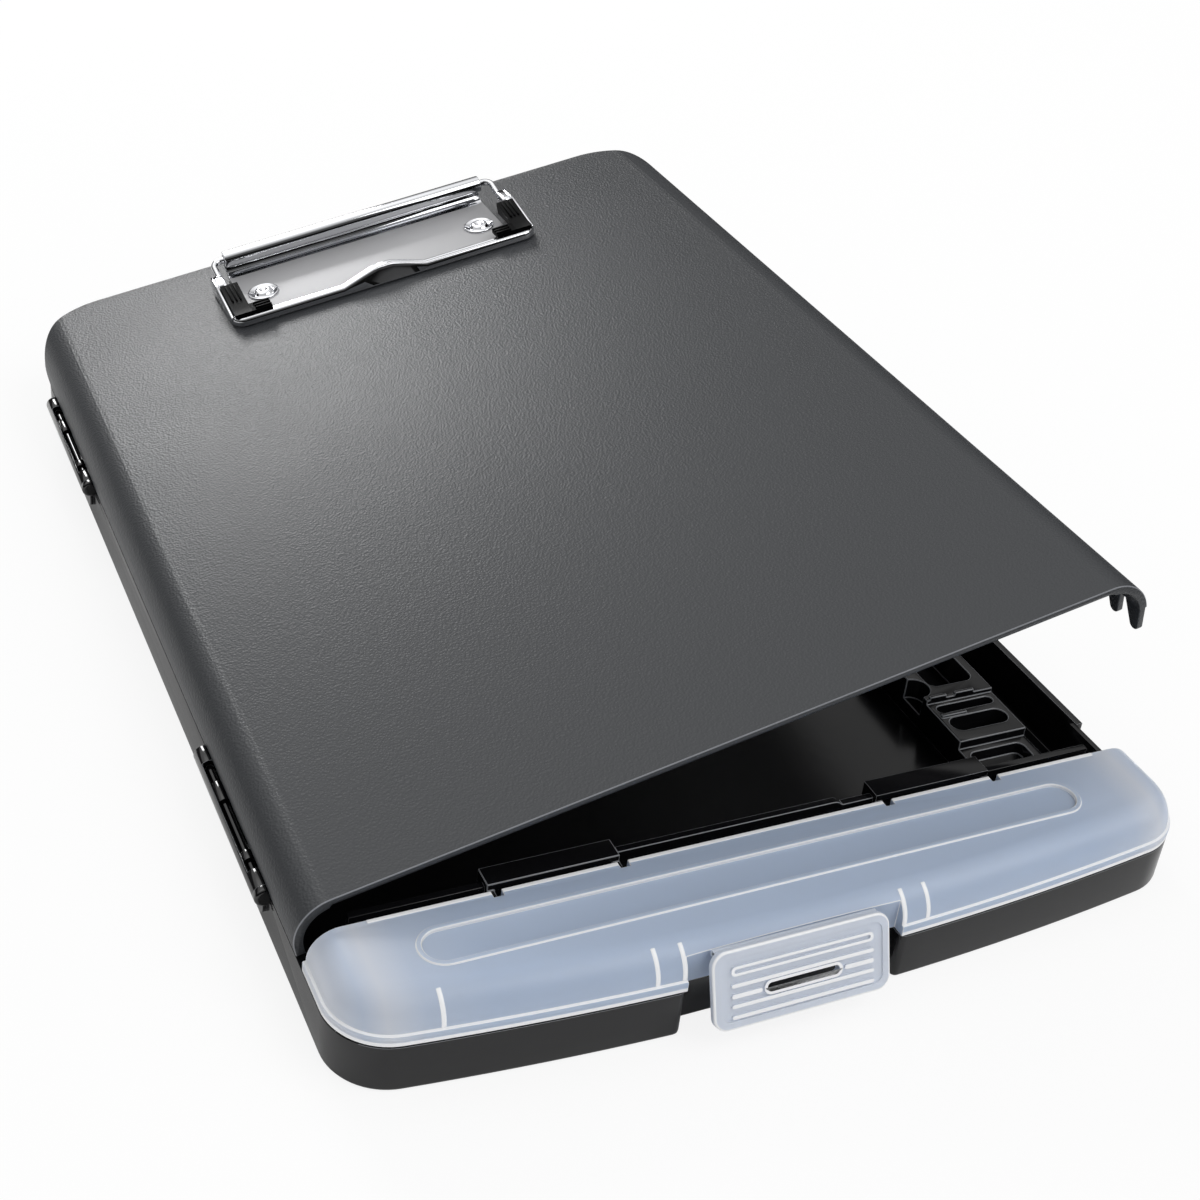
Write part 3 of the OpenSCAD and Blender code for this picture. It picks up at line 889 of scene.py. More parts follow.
@dataclass(frozen=True)
class Tray:
    """The moulded tray with its divider, latch recess and raised side."""

    wall: float = 2.2
    floor: float = 2.2
    rim: float = 14.8
    raised: float = 17.8
    notch_left: float = -38.0
    notch_right: float = 24.0
    recess: float = 6.0

    def outline(self, inset: float) -> list[Point]:
        """Points round the tray at an inset, with the latch recess taken out.

        Args:
            inset: distance inside the outer face.

        Returns:
            The points, on z = 0.
        """
        r = PLAN.bow_r - inset
        turn = PLAN.turn

        def bow(x0: float, x1: float, steps: int) -> list[Flat]:
            """Points of the front bow between two places across it."""
            start, end = (270 + math.degrees(math.asin(x / r)) for x in (x0, x1))
            return arc((0, PLAN.bow_y), r, start, end, steps)

        side = r * math.sin(math.radians(turn))
        left, right = self.notch_left - inset, self.notch_right + inset
        deep = -PLAN.half_l + self.recess + inset
        flat = arc((-PLAN.corner_x, PLAN.corner_y), PLAN.front_r - inset, 180, 270 - turn, 16)[:-1]
        flat += bow(-side, left, 10) + [(left, deep), (right, deep)] + bow(right, side, 10)
        flat += arc((PLAN.corner_x, PLAN.corner_y), PLAN.front_r - inset, 270 + turn, 360, 16)[1:]
        return [(x, y, 0.0) for x, y in flat + PLAN.back(inset, 20)]

    def shell(self) -> Piece:
        """Models the open shell.

        Returns:
            The dressed shell.
        """
        ends = (self.notch_left, self.notch_right)

        def notch_end(e: BMEdge) -> bool:
            """Whether an edge is an upright corner of the latch recess."""
            a, b = (v.co for v in e.verts)
            return abs(a.z - b.z) > 1 and all(
                p.y < -185 and min(abs(p.x - x) for x in ends) < 0.3 for p in (a, b)
            )

        def below(height: float) -> EdgeTest:
            """Makes a test for the sharp edges below a height."""
            return lambda e: sharp(e) and max(v.co.z for v in e.verts) < height

        piece = Piece.prism("tray_shell_moulding", self.outline(0), (0, 0, self.rim))
        piece.soften(notch_end, 2.0, 5).soften(below(0.1), 1.3, 4)
        hollow = Piece.prism("tray_hollow", self.outline(self.wall), (0, 0, 30))
        hollow.place(Matrix.Translation((0, 0, self.floor))).soften(below(3), 1.0)
        piece.cut(hollow)
        side, y = PLAN.half_w, PLAN.cover_y
        low = (side - self.wall, y - 0.6, self.floor + 2)
        high = (side, PLAN.back_y - 0.5, self.raised)
        piece.cut(Piece.block("raised_side", low, high), "UNION")
        piece.cut(Piece.block("window", (side - 2.4, y - 0.7, 7.5), (side + 1, y + 17.6, 25)))
        for front in HANG.fronts:
            piece.cut(HANG.seat(front, 0.05, HANG.flat + 0.05))
        # every rounding gets the painted edge highlight; the bottom edges and the left wall up to
        # its rim keep plain black
        piece.coat(Finishes.TRAY, Finishes.BLACK_EDGE_HIGHLIGHT).round_off(0.5, finish=1)
        return piece.repaint(0, lambda c, n: c.z < 1.5 or (c.x < -119 and c.z < 15.2))

    def divider(self) -> Piece:
        """Models the wall between the paper bay and the pencil bay.

        Returns:
            The dressed wall.
        """

        def right_top(e: BMEdge) -> bool:
            """Whether an edge is the peak's upper right one."""
            return all(v.co.x > 29 and v.co.z > 25 for v in e.verts)

        y0 = PLAN.cover_y + 0.1
        y1 = y0 + 2.2
        low = Piece.block("divider", (-PLAN.half_w + 1, y0, 1.0), (PLAN.half_w - 2.4, y1, 14.5))
        mid = Piece.block("divider_mid", (-111.9, y0, 2.4), (111.9, y1, 24.5))
        for s in PIVOTS:
            mid.cut(Piece.block("saddle", (s - 18.5, y0 - 1, 20), (s + 18.5, y1 + 1, 26)))
        peak = Piece.block("divider_peak", (-39.2, y0, 2.4), (30, y1, 26.0))
        low.cut(mid, "UNION").cut(peak.soften(right_top, 4.0, 6), "UNION")
        # roundings get the painted edge highlight, except on the outer stretches past x = ±77
        low.coat(Finishes.TRAY, Finishes.BLACK_EDGE_HIGHLIGHT).round_off(0.35, finish=1)
        return low.repaint(0, lambda c, n: abs(c.x) > 77)

    def cheek(self) -> Piece:
        """Models the inner cheek behind the snap prongs.

        Returns:
            The cheek.
        """
        x, y = PLAN.half_w - self.wall, PLAN.cover_y
        cheek = Piece.block("cheek", (x - 2, y - 1.6, 1.1), (x + 0.01, y + 18.8, self.raised))
        return cheek.round_off(0.35)

    def catch(self) -> Piece:
        """Models the catch that the latch slot snaps over."""
        y = -PLAN.half_l
        return Piece.block("catch", (-16, y + 1.6, 12.95), (0, y + 7, 13.75)).round_off(0.25)

    def build(self) -> None:
        """Builds the tray."""
        shell = self.shell().add(self.divider(), self.cheek(), self.catch())
        shell.lay_down(Body.TRAY, "tray_black", "tray_shell", 30)


# ---- pencil lid ----


@dataclass(frozen=True)
class PencilLid:
    """The frosted dome over the pencil bay."""

    foot: float = 15.3
    rim_top: float = 18.4
    rim_in: float = 0.9
    top: float = 27.0
    dome: float = 8.6
    wall: float = 1.5
    rear: float = -149.5
    notch_left: float = -38.0
    notch_right: float = 24.0
    notch_y: float = -183.5
    rib_middle: Flat = (-3.5, -163.5)
    rib_size: Flat = (192.0, 11.0)
    rib_line: float = 1.3
    blade: float = 1.3
    blades_left: Flat = (-100.0, -46.0)
    blade_right: float = 32.0

    def volume(self) -> Piece:
        """Models the outside of the dome as a closed volume.

        Returns:
            The closed volume.
        """
        x, y, high = -PLAN.half_w, self.rear, self.top - 0.01
        # the point at foot + 1.25 bounds the painted glow band along the bottom of the rim
        side = [(x, self.foot), (x, self.foot + 1.25), (x, self.rim_top - 0.5)]
        side.append((x + 0.25, self.rim_top))
        side += arc((x + self.rim_in + self.dome, self.top - self.dome), self.dome, 180, 90, 10)
        piece = Piece.trace("pencil_lid_dome", [(u, y, v) for u, v in side])
        piece.sweep(PLAN.front(y))
        # the line across the rear of the top, then the top, the rear and the underside
        piece.fill(lambda v: v.co.z > high and len(v.link_edges) == 2)
        piece.fill(lambda v: v.co.z > high)
        piece.fill(lambda v: abs(v.co.y - y) < 0.01)
        piece.fill(lambda v: abs(v.co.z - self.foot) < 0.01)
        return piece.outward()

    def stadium(self, grow: float, low: float, high: float) -> Piece:
        """Models an oblong with round ends.

        Args:
            grow: how far it stands outside the rib's inner line.
            low: height of its bottom.
            high: height of its top.

        Returns:
            The oblong.
        """
        w, h = self.rib_size
        r = h / 2 + grow
        x, y = self.rib_middle
        reach = w / 2 - h / 2
        flat = arc((x + reach, y), r, -90, 90, 16) + arc((x - reach, y), r, 90, 270, 16)
        return Piece.prism("oblong", [(u, v, low) for u, v in flat], (0, 0, high - low))

    def in_rib(self, p: Vector) -> bool:
        """Whether a point lies on the raised line of the oblong.

        Args:
            p: the point.

        Returns:
            True where it does.
        """
        w, h = self.rib_size
        x, y = self.rib_middle
        reach = w / 2 - h / 2
        dx = max(abs(p.x - x) - reach, 0.0)
        d = math.hypot(dx, p.y - y) - h / 2
        return -0.5 < d < self.rib_line + 0.3

    def fin(self, x: float) -> Piece:
        """Models one blade inside the dome.

        Args:
            x: its middle across the lid.

        Returns:
            The dressed blade.
        """
        left = x - self.blade / 2
        y0 = PLAN.bow_y - math.sqrt((PLAN.bow_r - self.rim_in) ** 2 - x * x)
        rise = arc((y0 + self.dome, self.top - self.dome), self.dome + 0.1, 180, 112, 10)
        line = [(left, y0 - 0.1, self.foot + 1.6)] + [(left, u, v) for u, v in rise]
        line.append((left, y0 + 3.6, self.foot + 1.6))
        fin = Piece.prism("fin", line, (self.blade, 0, 0))
        # the blade is painted whole with the glow finish
        return fin.round_off(0.2, 2).coat(Finishes.FROST_EDGE_GLOW)

    def knuckle(self, x: float) -> Piece:
        """Models one knuckle on its pivot pin, with its web.

        Args:
            x: its middle across the lid.

        Returns:
            The knuckle.
        """
        y, z = self.rear - 2, self.top - 4
        bar = Piece.rod("knuckle", 2.2, (x - 16.2, y, z), 32.4, Axis.X)
        web = Piece.block("web", (x - 16.2, y - 1.4, z), (x + 16.2, y + 1.4, self.top - 0.7))
        bar.cut(web, "UNION")
        bore = Piece.rod("bore", 1.05, (x - 20, y, z), 40, Axis.X)
        return bar.cut(bore).round_off(0.2, 2)

    def build(self) -> None:
        """Builds the lid."""
        left, right = self.notch_left, self.notch_right
        rear, top = self.rear, self.top

        def hidden(f: BMFace) -> bool:
            """Whether a face closes the underside or the rear."""
            c, n = f.calc_center_median(), f.normal
            return (n.z < -0.95 and c.z < self.foot + 0.2) or (
                n.y > 0.95 and c.y > rear - 0.2 and c.z < top - 0.6
            )

        piece = self.volume()
        piece.cut(Piece.block("notch", (left, -200, 0), (right, self.notch_y, 40)))
        piece.cut(self.stadium(self.rib_line, top - 1, top + 0.4), "UNION")
        piece.cut(self.stadium(0, top - 0.6, top + 2))
        lip = Piece.block("lip", (-109, rear - 1.2, top - 0.6), (109, rear, top + 0.12))
        # gaps beside the saddles
        for e in [s + side for s in PIVOTS for side in (-18.5, 16.5)]:
            piece.cut(Piece.block("gap", (e - 0.4, rear - 2.2, 24), (e + 2.4, -140, 40)))
            lip.cut(Piece.block("gap", (e - 0.5, rear - 3, 24), (e + 2.5, -140, 40)))
        # the lip is painted whole with the glow finish
        lip.round_off(0.12, 2).coat(Finishes.FROST_EDGE_GLOW)
        # roundings of the lid get the painted glow finish
        piece.coat(Finishes.FROST, Finishes.FROST_EDGE_GLOW).round_off(0.4, 3, 40, finish=1)
        with piece.editing("FACE", hidden):
            bpy.ops.mesh.delete(type="FACE")
        # the cut rims of the solidified wall get the painted glow finish
        piece.modify(
            "SOLIDIFY", thickness=self.wall, offset=-1, use_even_offset=True, material_offset_rim=1
        )
        ends = (left - 0.75, right + 0.75)
        fins = [self.fin(x) for x in (*self.blades_left, *ends, self.blade_right)]
        piece.add(*fins, lip, *[self.knuckle(s) for s in PIVOTS])
        # painted glow bands: the bottom of the rim, a line at the rim top and the oblong rib
        piece.repaint(
            1,
            lambda c, n: c.z < self.foot + 1.2
            or self.rim_top - 0.3 < c.z < self.rim_top + 0.15
            or (self.in_rib(c) and c.z > top - 0.75),
        )
        piece.lay_down(Body.LID, "lid_frosted", "pencil_lid")


# ---- latch tab ----


@dataclass(frozen=True)
class LatchTab:
    """The frosted tab with its slot and grip ribs, modelled flat and then hung."""

    width: float = 51.0
    length: float = 21.5
    thick: float = 1.5
    corner: float = 4.0
    bead: Point = (-8.0, -184.7, 24.3)
    tilt: float = 20.0
    # place and height of each long grip rib
    ribs: tuple[Flat, ...] = ((5.0, 2.6), (1.15, 1.0), (-4.45, 1.0), (-7.4, 1.0))

    def rounded(self, name: str, w: float, h: float, r: float, low: float, high: float) -> Piece:
        """Models a flat plate with round corners, standing on z = low.

        Args:
            name: name of the piece.
            w: its width.
            h: its length.
            r: radius of its corners.
            low: height of its underside.
            high: height of its top.

        Returns:
            The plate.
        """
        flat: list[Flat] = []
        for sx, sy, a in ((1, 1, 0), (-1, 1, 90), (-1, -1, 180), (1, -1, 270)):
            flat += arc((sx * (w / 2 - r), sy * (h / 2 - r)), r, a, a + 90, 8)
        return Piece.prism(name, [(u, v, low) for u, v in flat], (0, 0, high - low))

    def oblong(self, x: float, y: float, w: float, h: float, low: float, high: float) -> Piece:
        """Models an oblong rib or slot at a place on the tab."""
        made = self.rounded("rib", w, h, h / 2 - 0.001, low, high)
        return made.place(Matrix.Translation((x, y, 0)))

    def build(self) -> None:
        """Builds the tab."""
        t = self.thick
        tab = self.rounded("latch_tab_plate", self.width, self.length, self.corner, 0, t + 0.5)
        tab.coat(Finishes.FROST_TAB, Finishes.FROST_EDGE_GLOW)
        # the upper edges of the tab's border get the painted glow finish
        tab.soften(lambda e: sharp(e) and min(v.co.z for v in e.verts) > t, 0.55, 3, 1)
        tab.cut(self.rounded("dish", self.width - 4.4, self.length - 4.4, 2.6, t, t + 3))
        for y, h in self.ribs:
            tab.cut(self.oblong(0, y, 41, h, t - 0.5, t + 0.7), "UNION")
        tab.cut(self.oblong(0, 5.0, 39.2, 1.1, t + 0.1, t + 2))
        for x in (-16.2, 16.2):
            tab.cut(self.oblong(x, -1.7, 8.6, 1.2, t - 0.5, t + 0.7), "UNION")
        tab.cut(self.oblong(0, -1.6, 22.6, 4.1, t - 0.5, t + 0.7), "UNION")
        tab.cut(self.oblong(0, -1.6, 20.9, 2.5, -1, t + 3))
        # roundings, and the ribs standing above the border, get the painted glow finish
        tab.round_off(0.24, 3, 40, finish=1)
        tab.repaint(1, lambda c, n: c.z > t + 0.55)
        # hung from its bead: flat side towards the tray, length downwards
        tab.place(Matrix.Rotation(math.radians(90), 4, "X"))
        tab.place(Matrix.Translation((0, -1.9, t - self.length / 2)))
        bead = Piece.rod("bead", 0.95, (-23.5, 0, 0), 47, Axis.X, 24)
        web = Piece.block("web", (-23.5, -2.4, -0.4), (23.5, 0, 0.4))
        tab.add(bead, web)
        hang = Matrix.Translation(self.bead) @ Matrix.Rotation(-math.radians(self.tilt), 4, "X")
        tab.place(hang).lay_down(Body.TAB, "tab_frosted", "latch_tab")


# ---- clip ----


@dataclass(frozen=True)
class Clip:
    """The spring clip: base plate rolled into a barrel, jaw, wire, pads and rivets."""

    base: float = 29.5
    sheet: float = 1.2
    half_w: float = 51.0
    front: float = 139.6
    barrel: Flat = (172.0, 38.0)
    barrel_r: float = 3.0
    bend: float = 4.0
    jaw_front: float = 134.0
    jaw_half: float = 59.0
    jaw_l: float = 30.0
    jaw_corner: float = 5.0
    jaw_z: float = 29.8
    lean: float = 16.0
    rivet_x: float = 42.7
    rivet_y: float = 153.0
    # dished rivet head: radius and height from its rim to its middle
    rivet_side: tuple[Flat, ...] = (
        (5.8, 0.0), (5.8, 0.3), (5.6, 0.6), (5.2, 0.75), (4.8, 0.6), (4.3, 0.35), (3.7, 0.25),
        (3.4, 0.45), (3.1, 0.95), (2.6, 1.3), (1.9, 1.45), (1.4, 1.35), (1.0, 1.0), (0.5, 0.85),
        (0.0, 0.8),
    )
    # hem section: outer roll, valley, inner roll, open underneath
    hem: tuple[Flat, ...] = (
        (0.7, 0.0), (0.15, 0.25), (0.0, 0.8), (0.0, 1.7), (0.25, 2.5), (0.8, 3.05), (1.4, 3.2),
        (2.0, 3.0), (2.5, 2.55), (2.9, 2.4), (3.4, 2.6), (3.9, 2.65), (4.4, 2.3), (4.8, 1.5),
        (4.8, 0.9), (4.3, 0.5),
    )

    def base_plate(self) -> Piece:
        """Models the sheet that runs flat and rolls up into the barrel.

        Returns:
            The dressed sheet.
        """
        mid = self.base + self.sheet / 2
        roll = self.barrel_r - self.sheet / 2
        # the flat turns up on the barrel's rear tangent, then the roll runs forwards and down
        rear = self.barrel[0] + roll
        line = [(self.front, mid)]
        line += arc((rear - self.bend, mid + self.bend), self.bend, -90, 0, 14)
        line += arc(self.barrel, roll, 0, 292, 36)
        piece = Piece.trace("clip_base_sheet", [(-self.half_w, u, v) for u, v in line])
        piece.sweep([Leg(move=(2 * self.half_w, 0))]).outward()
        piece.modify("SOLIDIFY", thickness=self.sheet, offset=0, use_even_offset=True)
        piece.outward().coat(Finishes.PLATE, Finishes.CHROME).round_off(0.3, 3, 50)
        return piece.repaint(1, lambda c, n: c.y > self.barrel[0] - self.barrel_r - 0.5)

    def rivet(self, x: float) -> Piece:
        """Models one rivet with a dished head.

        Args:
            x: its middle across the clip.

        Returns:
            The rivet.
        """
        y, z = self.rivet_y, self.base + self.sheet
        piece = Piece.trace("rivet_head", [(x + r, y, z + h) for r, h in self.rivet_side])
        piece.sweep([Leg(centre=(x, y), degrees=360, steps=48)])
        piece.outward()
        shank = Piece.rod("shank", 2.0, (x, y, 25.4), 5.5, Axis.Z)
        foot = Piece.rod("foot", 3.4, (x, y, 25.4), 0.8, Axis.Z).round_off(0.2)
        return piece.add(shank, foot)

    def jaw_path(self) -> list[Leg]:
        """Path of the jaw's hem, from the left rear to the right rear.

        Returns:
            The stretches of the path.
        """
        r = self.jaw_corner
        x, y = self.jaw_half - r, self.jaw_front + r
        stops = [-x, -17.0, -9.0, -3.0, 3.0, 9.0, 15.0, x]
        return [
            Leg(move=(0, -(self.jaw_l - r))),
            Leg(centre=(-x, y), degrees=90, steps=10),
            *[Leg(move=(b - a, 0)) for a, b in zip(stops, stops[1:])],
            Leg(centre=(x, y), degrees=90, steps=10),
            Leg(move=(0, self.jaw_l - r)),
        ]

    def jaw(self) -> Piece:
        """Models the jaw: a hemmed bar bent into a U, with a lift in its middle.

        Returns:
            The jaw with its arms.
        """
        x, y = -self.jaw_half, self.jaw_front + self.jaw_l
        piece = Piece.trace("clip_jaw_bar", [(x + u, y, self.jaw_z + v) for u, v in self.hem])
        piece.sweep(self.jaw_path())
        lift = {-9.0: (1.1, 1.9), -3.0: (2.2, 3.0), 3.0: (2.4, 2.9), 9.0: (1.6, 1.4)}
        high, front = self.jaw_z + 1.2, self.jaw_front + 6

        def at_place(v: BMVert) -> bool:
            """Whether a vertex lies where the bar is lifted next."""
            return abs(v.co.x - place) < 0.1 and v.co.z > high and v.co.y < front

        for place, (back, up) in lift.items():
            with piece.editing("VERT", at_place):
                bpy.ops.transform.translate(value=(0, back, up))
        piece.outward().modify("SOLIDIFY", thickness=0.5, offset=-1, use_even_offset=True)
        return piece.add(self.arm(-1)).add(self.arm(1))

    @staticmethod
    def plank(name: str, x0: float, x1: float, side: Sequence[Flat]) -> Piece:
        """Models a plank from its side view, between two places across the clip."""
        return Piece.prism(name, [(x0, u, v) for u, v in side], (x1 - x0, 0, 0))

    @staticmethod
    def brick(name: str, x0: float, x1: float, low: Flat, high: Flat) -> Piece:
        """Adds a block between two places across the clip, in either order."""
        return Piece.block(name, (min(x0, x1), *low), (max(x0, x1), *high))

    def arm(self, s: int) -> Piece:
        """Models one arm: a rising flange with a boss that holds the wire.

        Args:
            s: side, -1 or 1.

        Returns:
            The arm.
        """
        y, z = self.jaw_front, self.jaw_z
        rear = y + self.jaw_l
        back = [(rear, z + 7.2), (rear, z + 1.2)]
        flange = [(y + 3, z + 1.4), (y + 3, z + 3.3), (y + 21, z + 7.2), *back]
        boss = [(rear - 8, z + 1.2), (rear - 8, z + 6.4), (rear - 7, z + 7.2), *back]
        arm = self.plank("jaw_flange", s * 57.6, s * 59.0, flange).round_off(0.5)
        return arm.add(self.plank("jaw_boss", s * 54.4, s * 57.8, boss).round_off(0.6))

    def pad(self, s: int) -> Piece:
        """Models one ribbed pad, an L over the jaw's corner that rises along the arm.

        Args:
            s: side, -1 or 1.

        Returns:
            The pad.
        """
        y, z = self.jaw_front + 1.2, self.jaw_z + 3.2
        out, leg, toe = s * 57.6, s * 51.2, s * 43.7
        side = [(0, 0), (0, 1.6), (4, 1.7), (18.4, 4.6), (19, 3.9), (19, 0)]
        pad = self.plank(f"clip_pad_{s}", leg, out, [(y + u, z + v) for u, v in side])
        pad.cut(self.brick("toe", toe, out, (y, z), (y + 5.8, z + 1.6)), "UNION")
        pad.cut(self.brick("lip", leg, s * 54, (y, z - 2.8), (y + 6.8, z + 0.5)), "UNION")
        pad.round_off(0.5)
        rib = [(y + 8, z + 2.2), (y + 8.4, z + 3.1), (y + 17, z + 4.85), (y + 17.4, z + 4.0)]
        for x in (55.9, 54.4, 52.9):
            pad.add(self.plank("rib", s * (x - 0.35), s * (x + 0.35), rib).round_off(0.2, 2))
        for at in (1.1, 2.9, 4.7):
            low, high = (y + at - 0.4, z + 1.2), (y + at + 0.4, z + 2.2)
            pad.add(self.brick("rib", toe, s * 49.7, low, high).round_off(0.2, 2))
        return pad

    def wire(self) -> Piece:
        """Models the wire that runs through the barrel and down to the jaw.

        Returns:
            The wire.
        """
        y, z = self.barrel
        r, bend, x = 1.2, 3.0, 55.5
        front = self.jaw_front + self.jaw_l - 9
        turns = [math.radians(i * 22.5) for i in range(16)]
        ring = [(-x + r * math.cos(a), front, z + r * math.sin(a)) for a in turns]
        piece = Piece.trace("clip_wire_rod", ring, closed=True)
        legs = [
            Leg(move=(0, y - bend - front)),
            Leg(centre=(-x + bend, y - bend), degrees=-90, steps=10),
            Leg(move=(2 * (x - bend), 0)),
            Leg(centre=(x - bend, y - bend), degrees=-90, steps=10),
            Leg(move=(0, -(y - bend - front))),
        ]
        lean = Matrix.Translation((0, y, z)) @ Matrix.Rotation(math.radians(self.lean), 4, "X")
        return piece.sweep(legs, "FACE").outward().place(lean @ Matrix.Translation((0, -y, -z)))

    def build(self) -> None:
        """Builds the clip."""
        plate = self.base_plate().place(COVER_TURN)
        plate.lay_down(Body.COVER, "plate_steel", "clip_base_plate")
        rivets = self.rivet(-self.rivet_x).add(self.rivet(self.rivet_x)).place(COVER_TURN)
        rivets.coat(Finishes.CHROME).lay_down(Body.COVER, "clip_chrome", "clip_rivets")
        for piece, node in ((self.jaw(), "jaw_frame"), (self.wire(), "jaw_wire")):
            piece.place(COVER_TURN).coat(Finishes.CHROME)
            piece.lay_down(Body.JAW, "clip_chrome", node, 40)
        for side, s in (("left", -1), ("right", 1)):
            pad = self.pad(s).place(COVER_TURN).coat(Finishes.PAD)
            pad.lay_down(Body.JAW, "pad_black", f"corner_pad_{side}")


# ---- hinges and fittings ----


class Fittings:
    """Hinge leaves, caps, pivot blocks and the organizer."""

    # rounding of the hinge parts, and of the blocks and the organizer
    FINE, COARSE = 0.3, 0.4
    HINGES = ("tray_leaf_front", "tray_leaf_rear", "hinge_cap_front", "hinge_cap_rear")
    COVER_LEAVES = ("cover_leaf_front", "cover_leaf_rear")
    BLOCKS = ("pivot_block_left", "pivot_block_right")

    def build(self) -> None:
        """Builds every fitting."""
        for node in self.HINGES:
            # roundings of the hinge leaves and caps get the painted edge highlight
            piece = Piece.from_node(node).coat(Finishes.HINGE, Finishes.BLACK_EDGE_HIGHLIGHT)
            piece.round_off(self.FINE, finish=1).lay_down(Body.TRAY, "hinge_black", node)
        for node in self.COVER_LEAVES:
            piece = Piece.from_node(node).coat(Finishes.HINGE)
            piece.round_off(self.FINE).lay_down(Body.COVER, "hinge_black", node)
        for node in (*self.BLOCKS, "organizer_insert"):
            # roundings of the pivot blocks and the organizer get the painted edge highlight
            piece = Piece.from_node(node).coat(Finishes.TRAY, Finishes.BLACK_EDGE_HIGHLIGHT)
            slot = "tray_black" if node in self.BLOCKS else "insert_black"
            piece.round_off(self.COARSE, finish=1).lay_down(Body.TRAY, slot, node)


# ---- studio ----


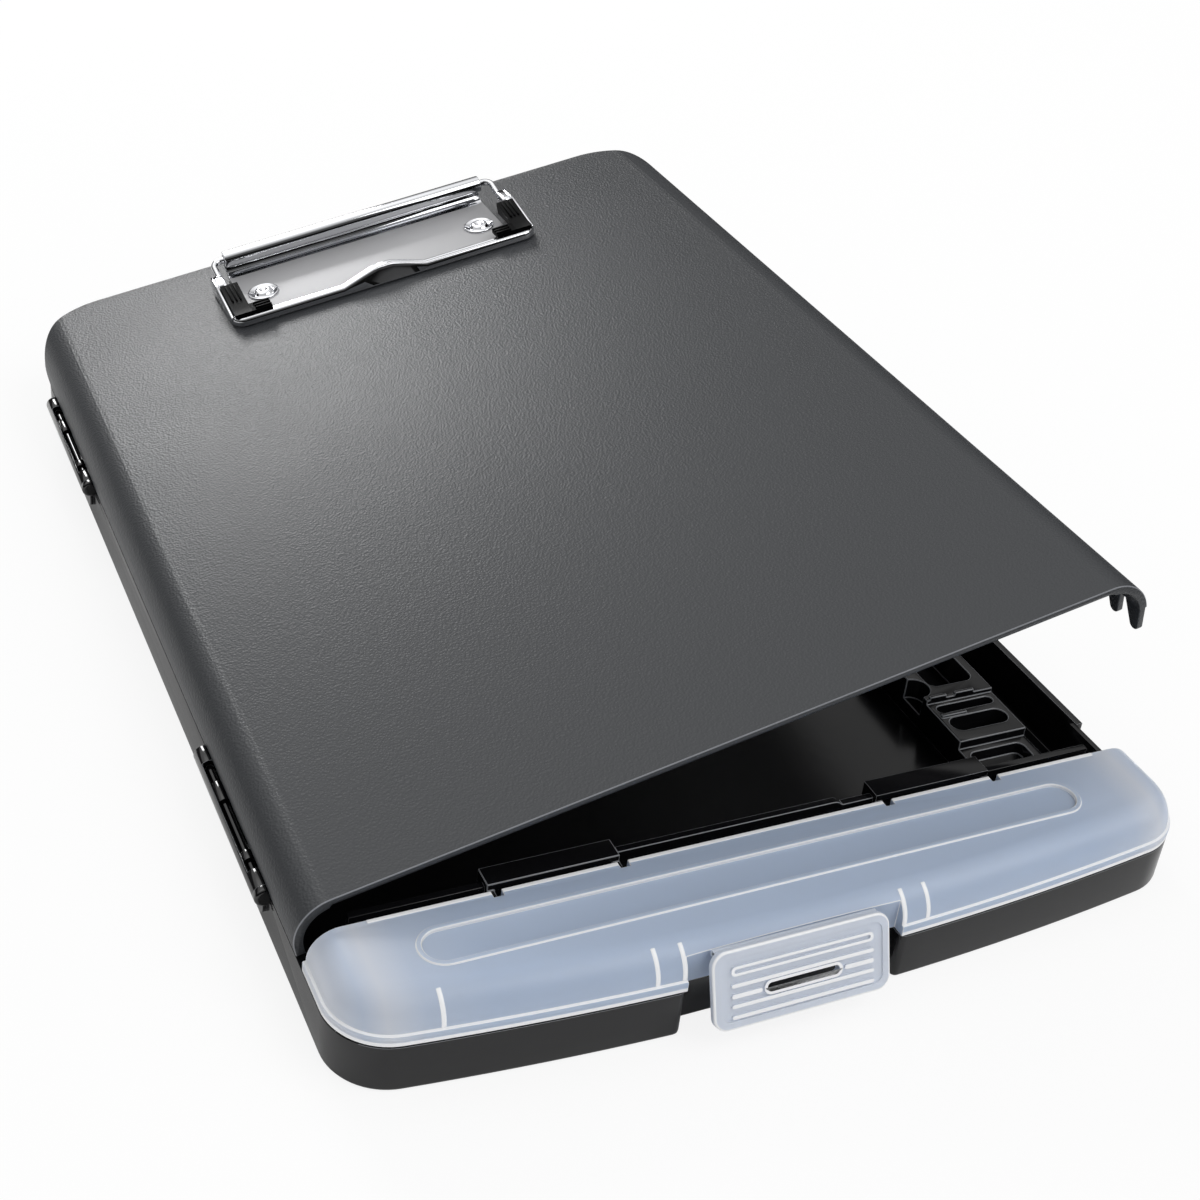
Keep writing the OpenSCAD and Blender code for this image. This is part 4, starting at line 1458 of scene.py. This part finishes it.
@dataclass(frozen=True)
class Studio:
    """Floor, lamps and camera."""

    camera_at: Point = (-225.6, -472.1, 353.1)
    aim: Point = (22.93, -1.69, 0.0)
    roll: float = 6.56
    lens: float = 57.19
    level: float = 0.62
    # brightness of the surround in reflections, by the upward part of the direction
    sky: tuple[Flat, ...] = (
        (0.001, 0.9), (0.02, 0.03), (0.34, 0.04), (0.44, 0.42),
        (0.62, 0.5), (0.80, 1.0), (0.999, 1.1),
    )
    # fall of that brightness towards the front and towards the right: from, to, and both levels
    front_fade: tuple[float, ...] = (-0.75, 0.2, 0.12, 1.0)
    side_fade: tuple[float, ...] = (-0.25, 0.25, 1.6, 0.95)

    def floor(self) -> None:
        """Lays the pale floor, which is dim to shiny surfaces away from the box."""
        Piece.clear()
        bpy.ops.mesh.primitive_plane_add(size=12, location=(0, 0, 0))
        made = bpy.context.object
        made.name = "floor"
        material = bpy.data.materials.new("white_paper_floor")
        material.use_nodes = True
        tree = material.node_tree
        tree.nodes.clear()
        paper = add_node(tree, "BsdfDiffuse", {"Color": (0.98, 0.98, 0.98, 1)})
        dark = add_node(tree, "BsdfDiffuse", {"Color": (0.06, 0.06, 0.06, 1)})
        glow = add_node(tree, "Emission", {"Color": (1, 1, 1, 1), "Strength": 1.0})
        where = add_node(tree, "TexCoord").outputs["Object"]
        reach = add_node(tree, "VectorMath", None, {0: where}, operation="LENGTH").outputs["Value"]
        far = add_node(tree, "MapRange", {"From Min": 0.3, "From Max": 0.55}, {"Value": reach})
        ray = add_node(tree, "LightPath").outputs
        direct, glossy = ray["Is Camera Ray"], ray["Is Glossy Ray"]
        seen = add_node(tree, "Math", {1: 0.86}, {0: direct}, operation="MULTIPLY")
        dim = add_node(tree, "Math", None, {0: glossy, 1: far}, operation="MULTIPLY")
        sheet = add_node(tree, "MixShader", None, {"Fac": dim, 1: paper, 2: dark})
        mix = add_node(tree, "MixShader", None, {"Fac": seen, 1: sheet, 2: glow})
        add_node(tree, "OutputMaterial", None, {"Surface": mix})
        made.data.materials.append(material)

    def world(self) -> None:
        """Sets the surround: white to the camera, a studio to shiny surfaces."""
        world = bpy.data.worlds.new("surround")
        bpy.context.scene.world = world
        world.use_nodes = True
        tree = world.node_tree
        tree.nodes.clear()
        white = (1, 1, 1, 1)
        light = add_node(tree, "Background", {"Color": white, "Strength": self.level})
        shown = add_node(tree, "Background", {"Color": white, "Strength": 1.0})
        way = add_node(tree, "TexCoord").outputs["Generated"]
        split = add_node(tree, "SeparateXYZ", None, {"Vector": way}).outputs
        ramp = add_node(tree, "ValToRGB", None, {"Fac": split["Z"]}, self.sky)
        names = ("From Min", "From Max", "To Min", "To Max")
        fades = [
            add_node(tree, "MapRange", dict(zip(names, fade)), {"Value": split[axis]})
            for axis, fade in (("Y", self.front_fade), ("X", self.side_fade))
        ]
        level = add_node(tree, "Math", None, {0: fades[0], 1: fades[1]}, operation="MULTIPLY")
        room = add_node(tree, "Background", None, {"Color": ramp, "Strength": level})
        ray = add_node(tree, "LightPath").outputs
        shine = add_node(tree, "MixShader", None, {"Fac": ray["Is Glossy Ray"], 1: light, 2: room})
        direct = {0: ray["Is Camera Ray"], 1: ray["Is Transmission Ray"]}
        seen = add_node(tree, "Math", None, direct, operation="MAXIMUM")
        mix = add_node(tree, "MixShader", None, {"Fac": seen, 1: shine, 2: shown})
        add_node(tree, "OutputWorld", None, {"Surface": mix})

    def lamp(self, name: str, at: Point, aim: Point, size: float, power: float) -> None:
        """Hangs a soft square lamp.

        Args:
            name: its name.
            at: its place in metres.
            aim: point it faces, in metres.
            size: side of the square in metres.
            power: power in watts.
        """
        data = bpy.data.lights.new(name, "AREA")
        data.shape = "SQUARE"
        data.size = size
        data.energy = power
        made = bpy.data.objects.new(name, data)
        bpy.context.scene.collection.objects.link(made)
        way = Vector(aim) - Vector(at)
        turn = way.to_track_quat("-Z", "Y").to_matrix().to_4x4()
        made.matrix_world = Matrix.Translation(at) @ turn

    def camera(self) -> None:
        """Sets the camera."""
        at = Vector(self.camera_at) * MM
        back = (at - Vector(self.aim) * MM).normalized()
        right = Vector((0, 0, 1)).cross(back).normalized()
        up = back.cross(right)
        roll = math.radians(self.roll)
        side = math.cos(roll) * right + math.sin(roll) * up
        top = -math.sin(roll) * right + math.cos(roll) * up
        turn = Matrix((side, top, back)).transposed().to_4x4()
        data = bpy.data.cameras.new("camera")
        data.lens = self.lens
        data.sensor_width = 36.0
        made = bpy.data.objects.new("camera", data)
        bpy.context.scene.collection.objects.link(made)
        made.matrix_world = Matrix.Translation(at) @ turn
        bpy.context.scene.camera = made

    def build(self) -> None:
        """Sets up the studio."""
        self.floor()
        self.world()
        self.lamp("key", (-0.07, 2.03, 1.08), (0, 0, 0), 0.67, 16.2)
        self.lamp("fill", (0.9, -1.0, 1.65), (0, 0, 0), 1.4, 13)
        self.camera()
        bpy.context.scene.view_settings.view_transform = "Standard"


def dress_plain_nodes(frame: dict) -> None:
    """Gives the frame nodes that stay a finish of their own.
    """
    finishes = {
        "hinge_pin_front": Finishes.HINGE,
        "hinge_pin_rear": Finishes.HINGE,
        "pivot_pin_left": Finishes.PLATE,
        "pivot_pin_right": Finishes.PLATE,
        "clip_washers": Finishes.PLATE,
        "clip_spring": Finishes.CHROME,
    }
    for name, finish in finishes.items():
        data = frame["nodes"][name].data
        data.materials.clear()
        data.materials.append(finish.build())


def main() -> None:
    """Builds the box around its frame."""
    logging.basicConfig(level=logging.INFO, format="%(name)s %(message)s")
    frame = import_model()
    dress_plain_nodes(frame)
    Tray().build()
    CoverBoard().build()
    PencilLid().build()
    LatchTab().build()
    Clip().build()
    Fittings().build()
    Studio().build()


if __name__ == "__main__":
    main()
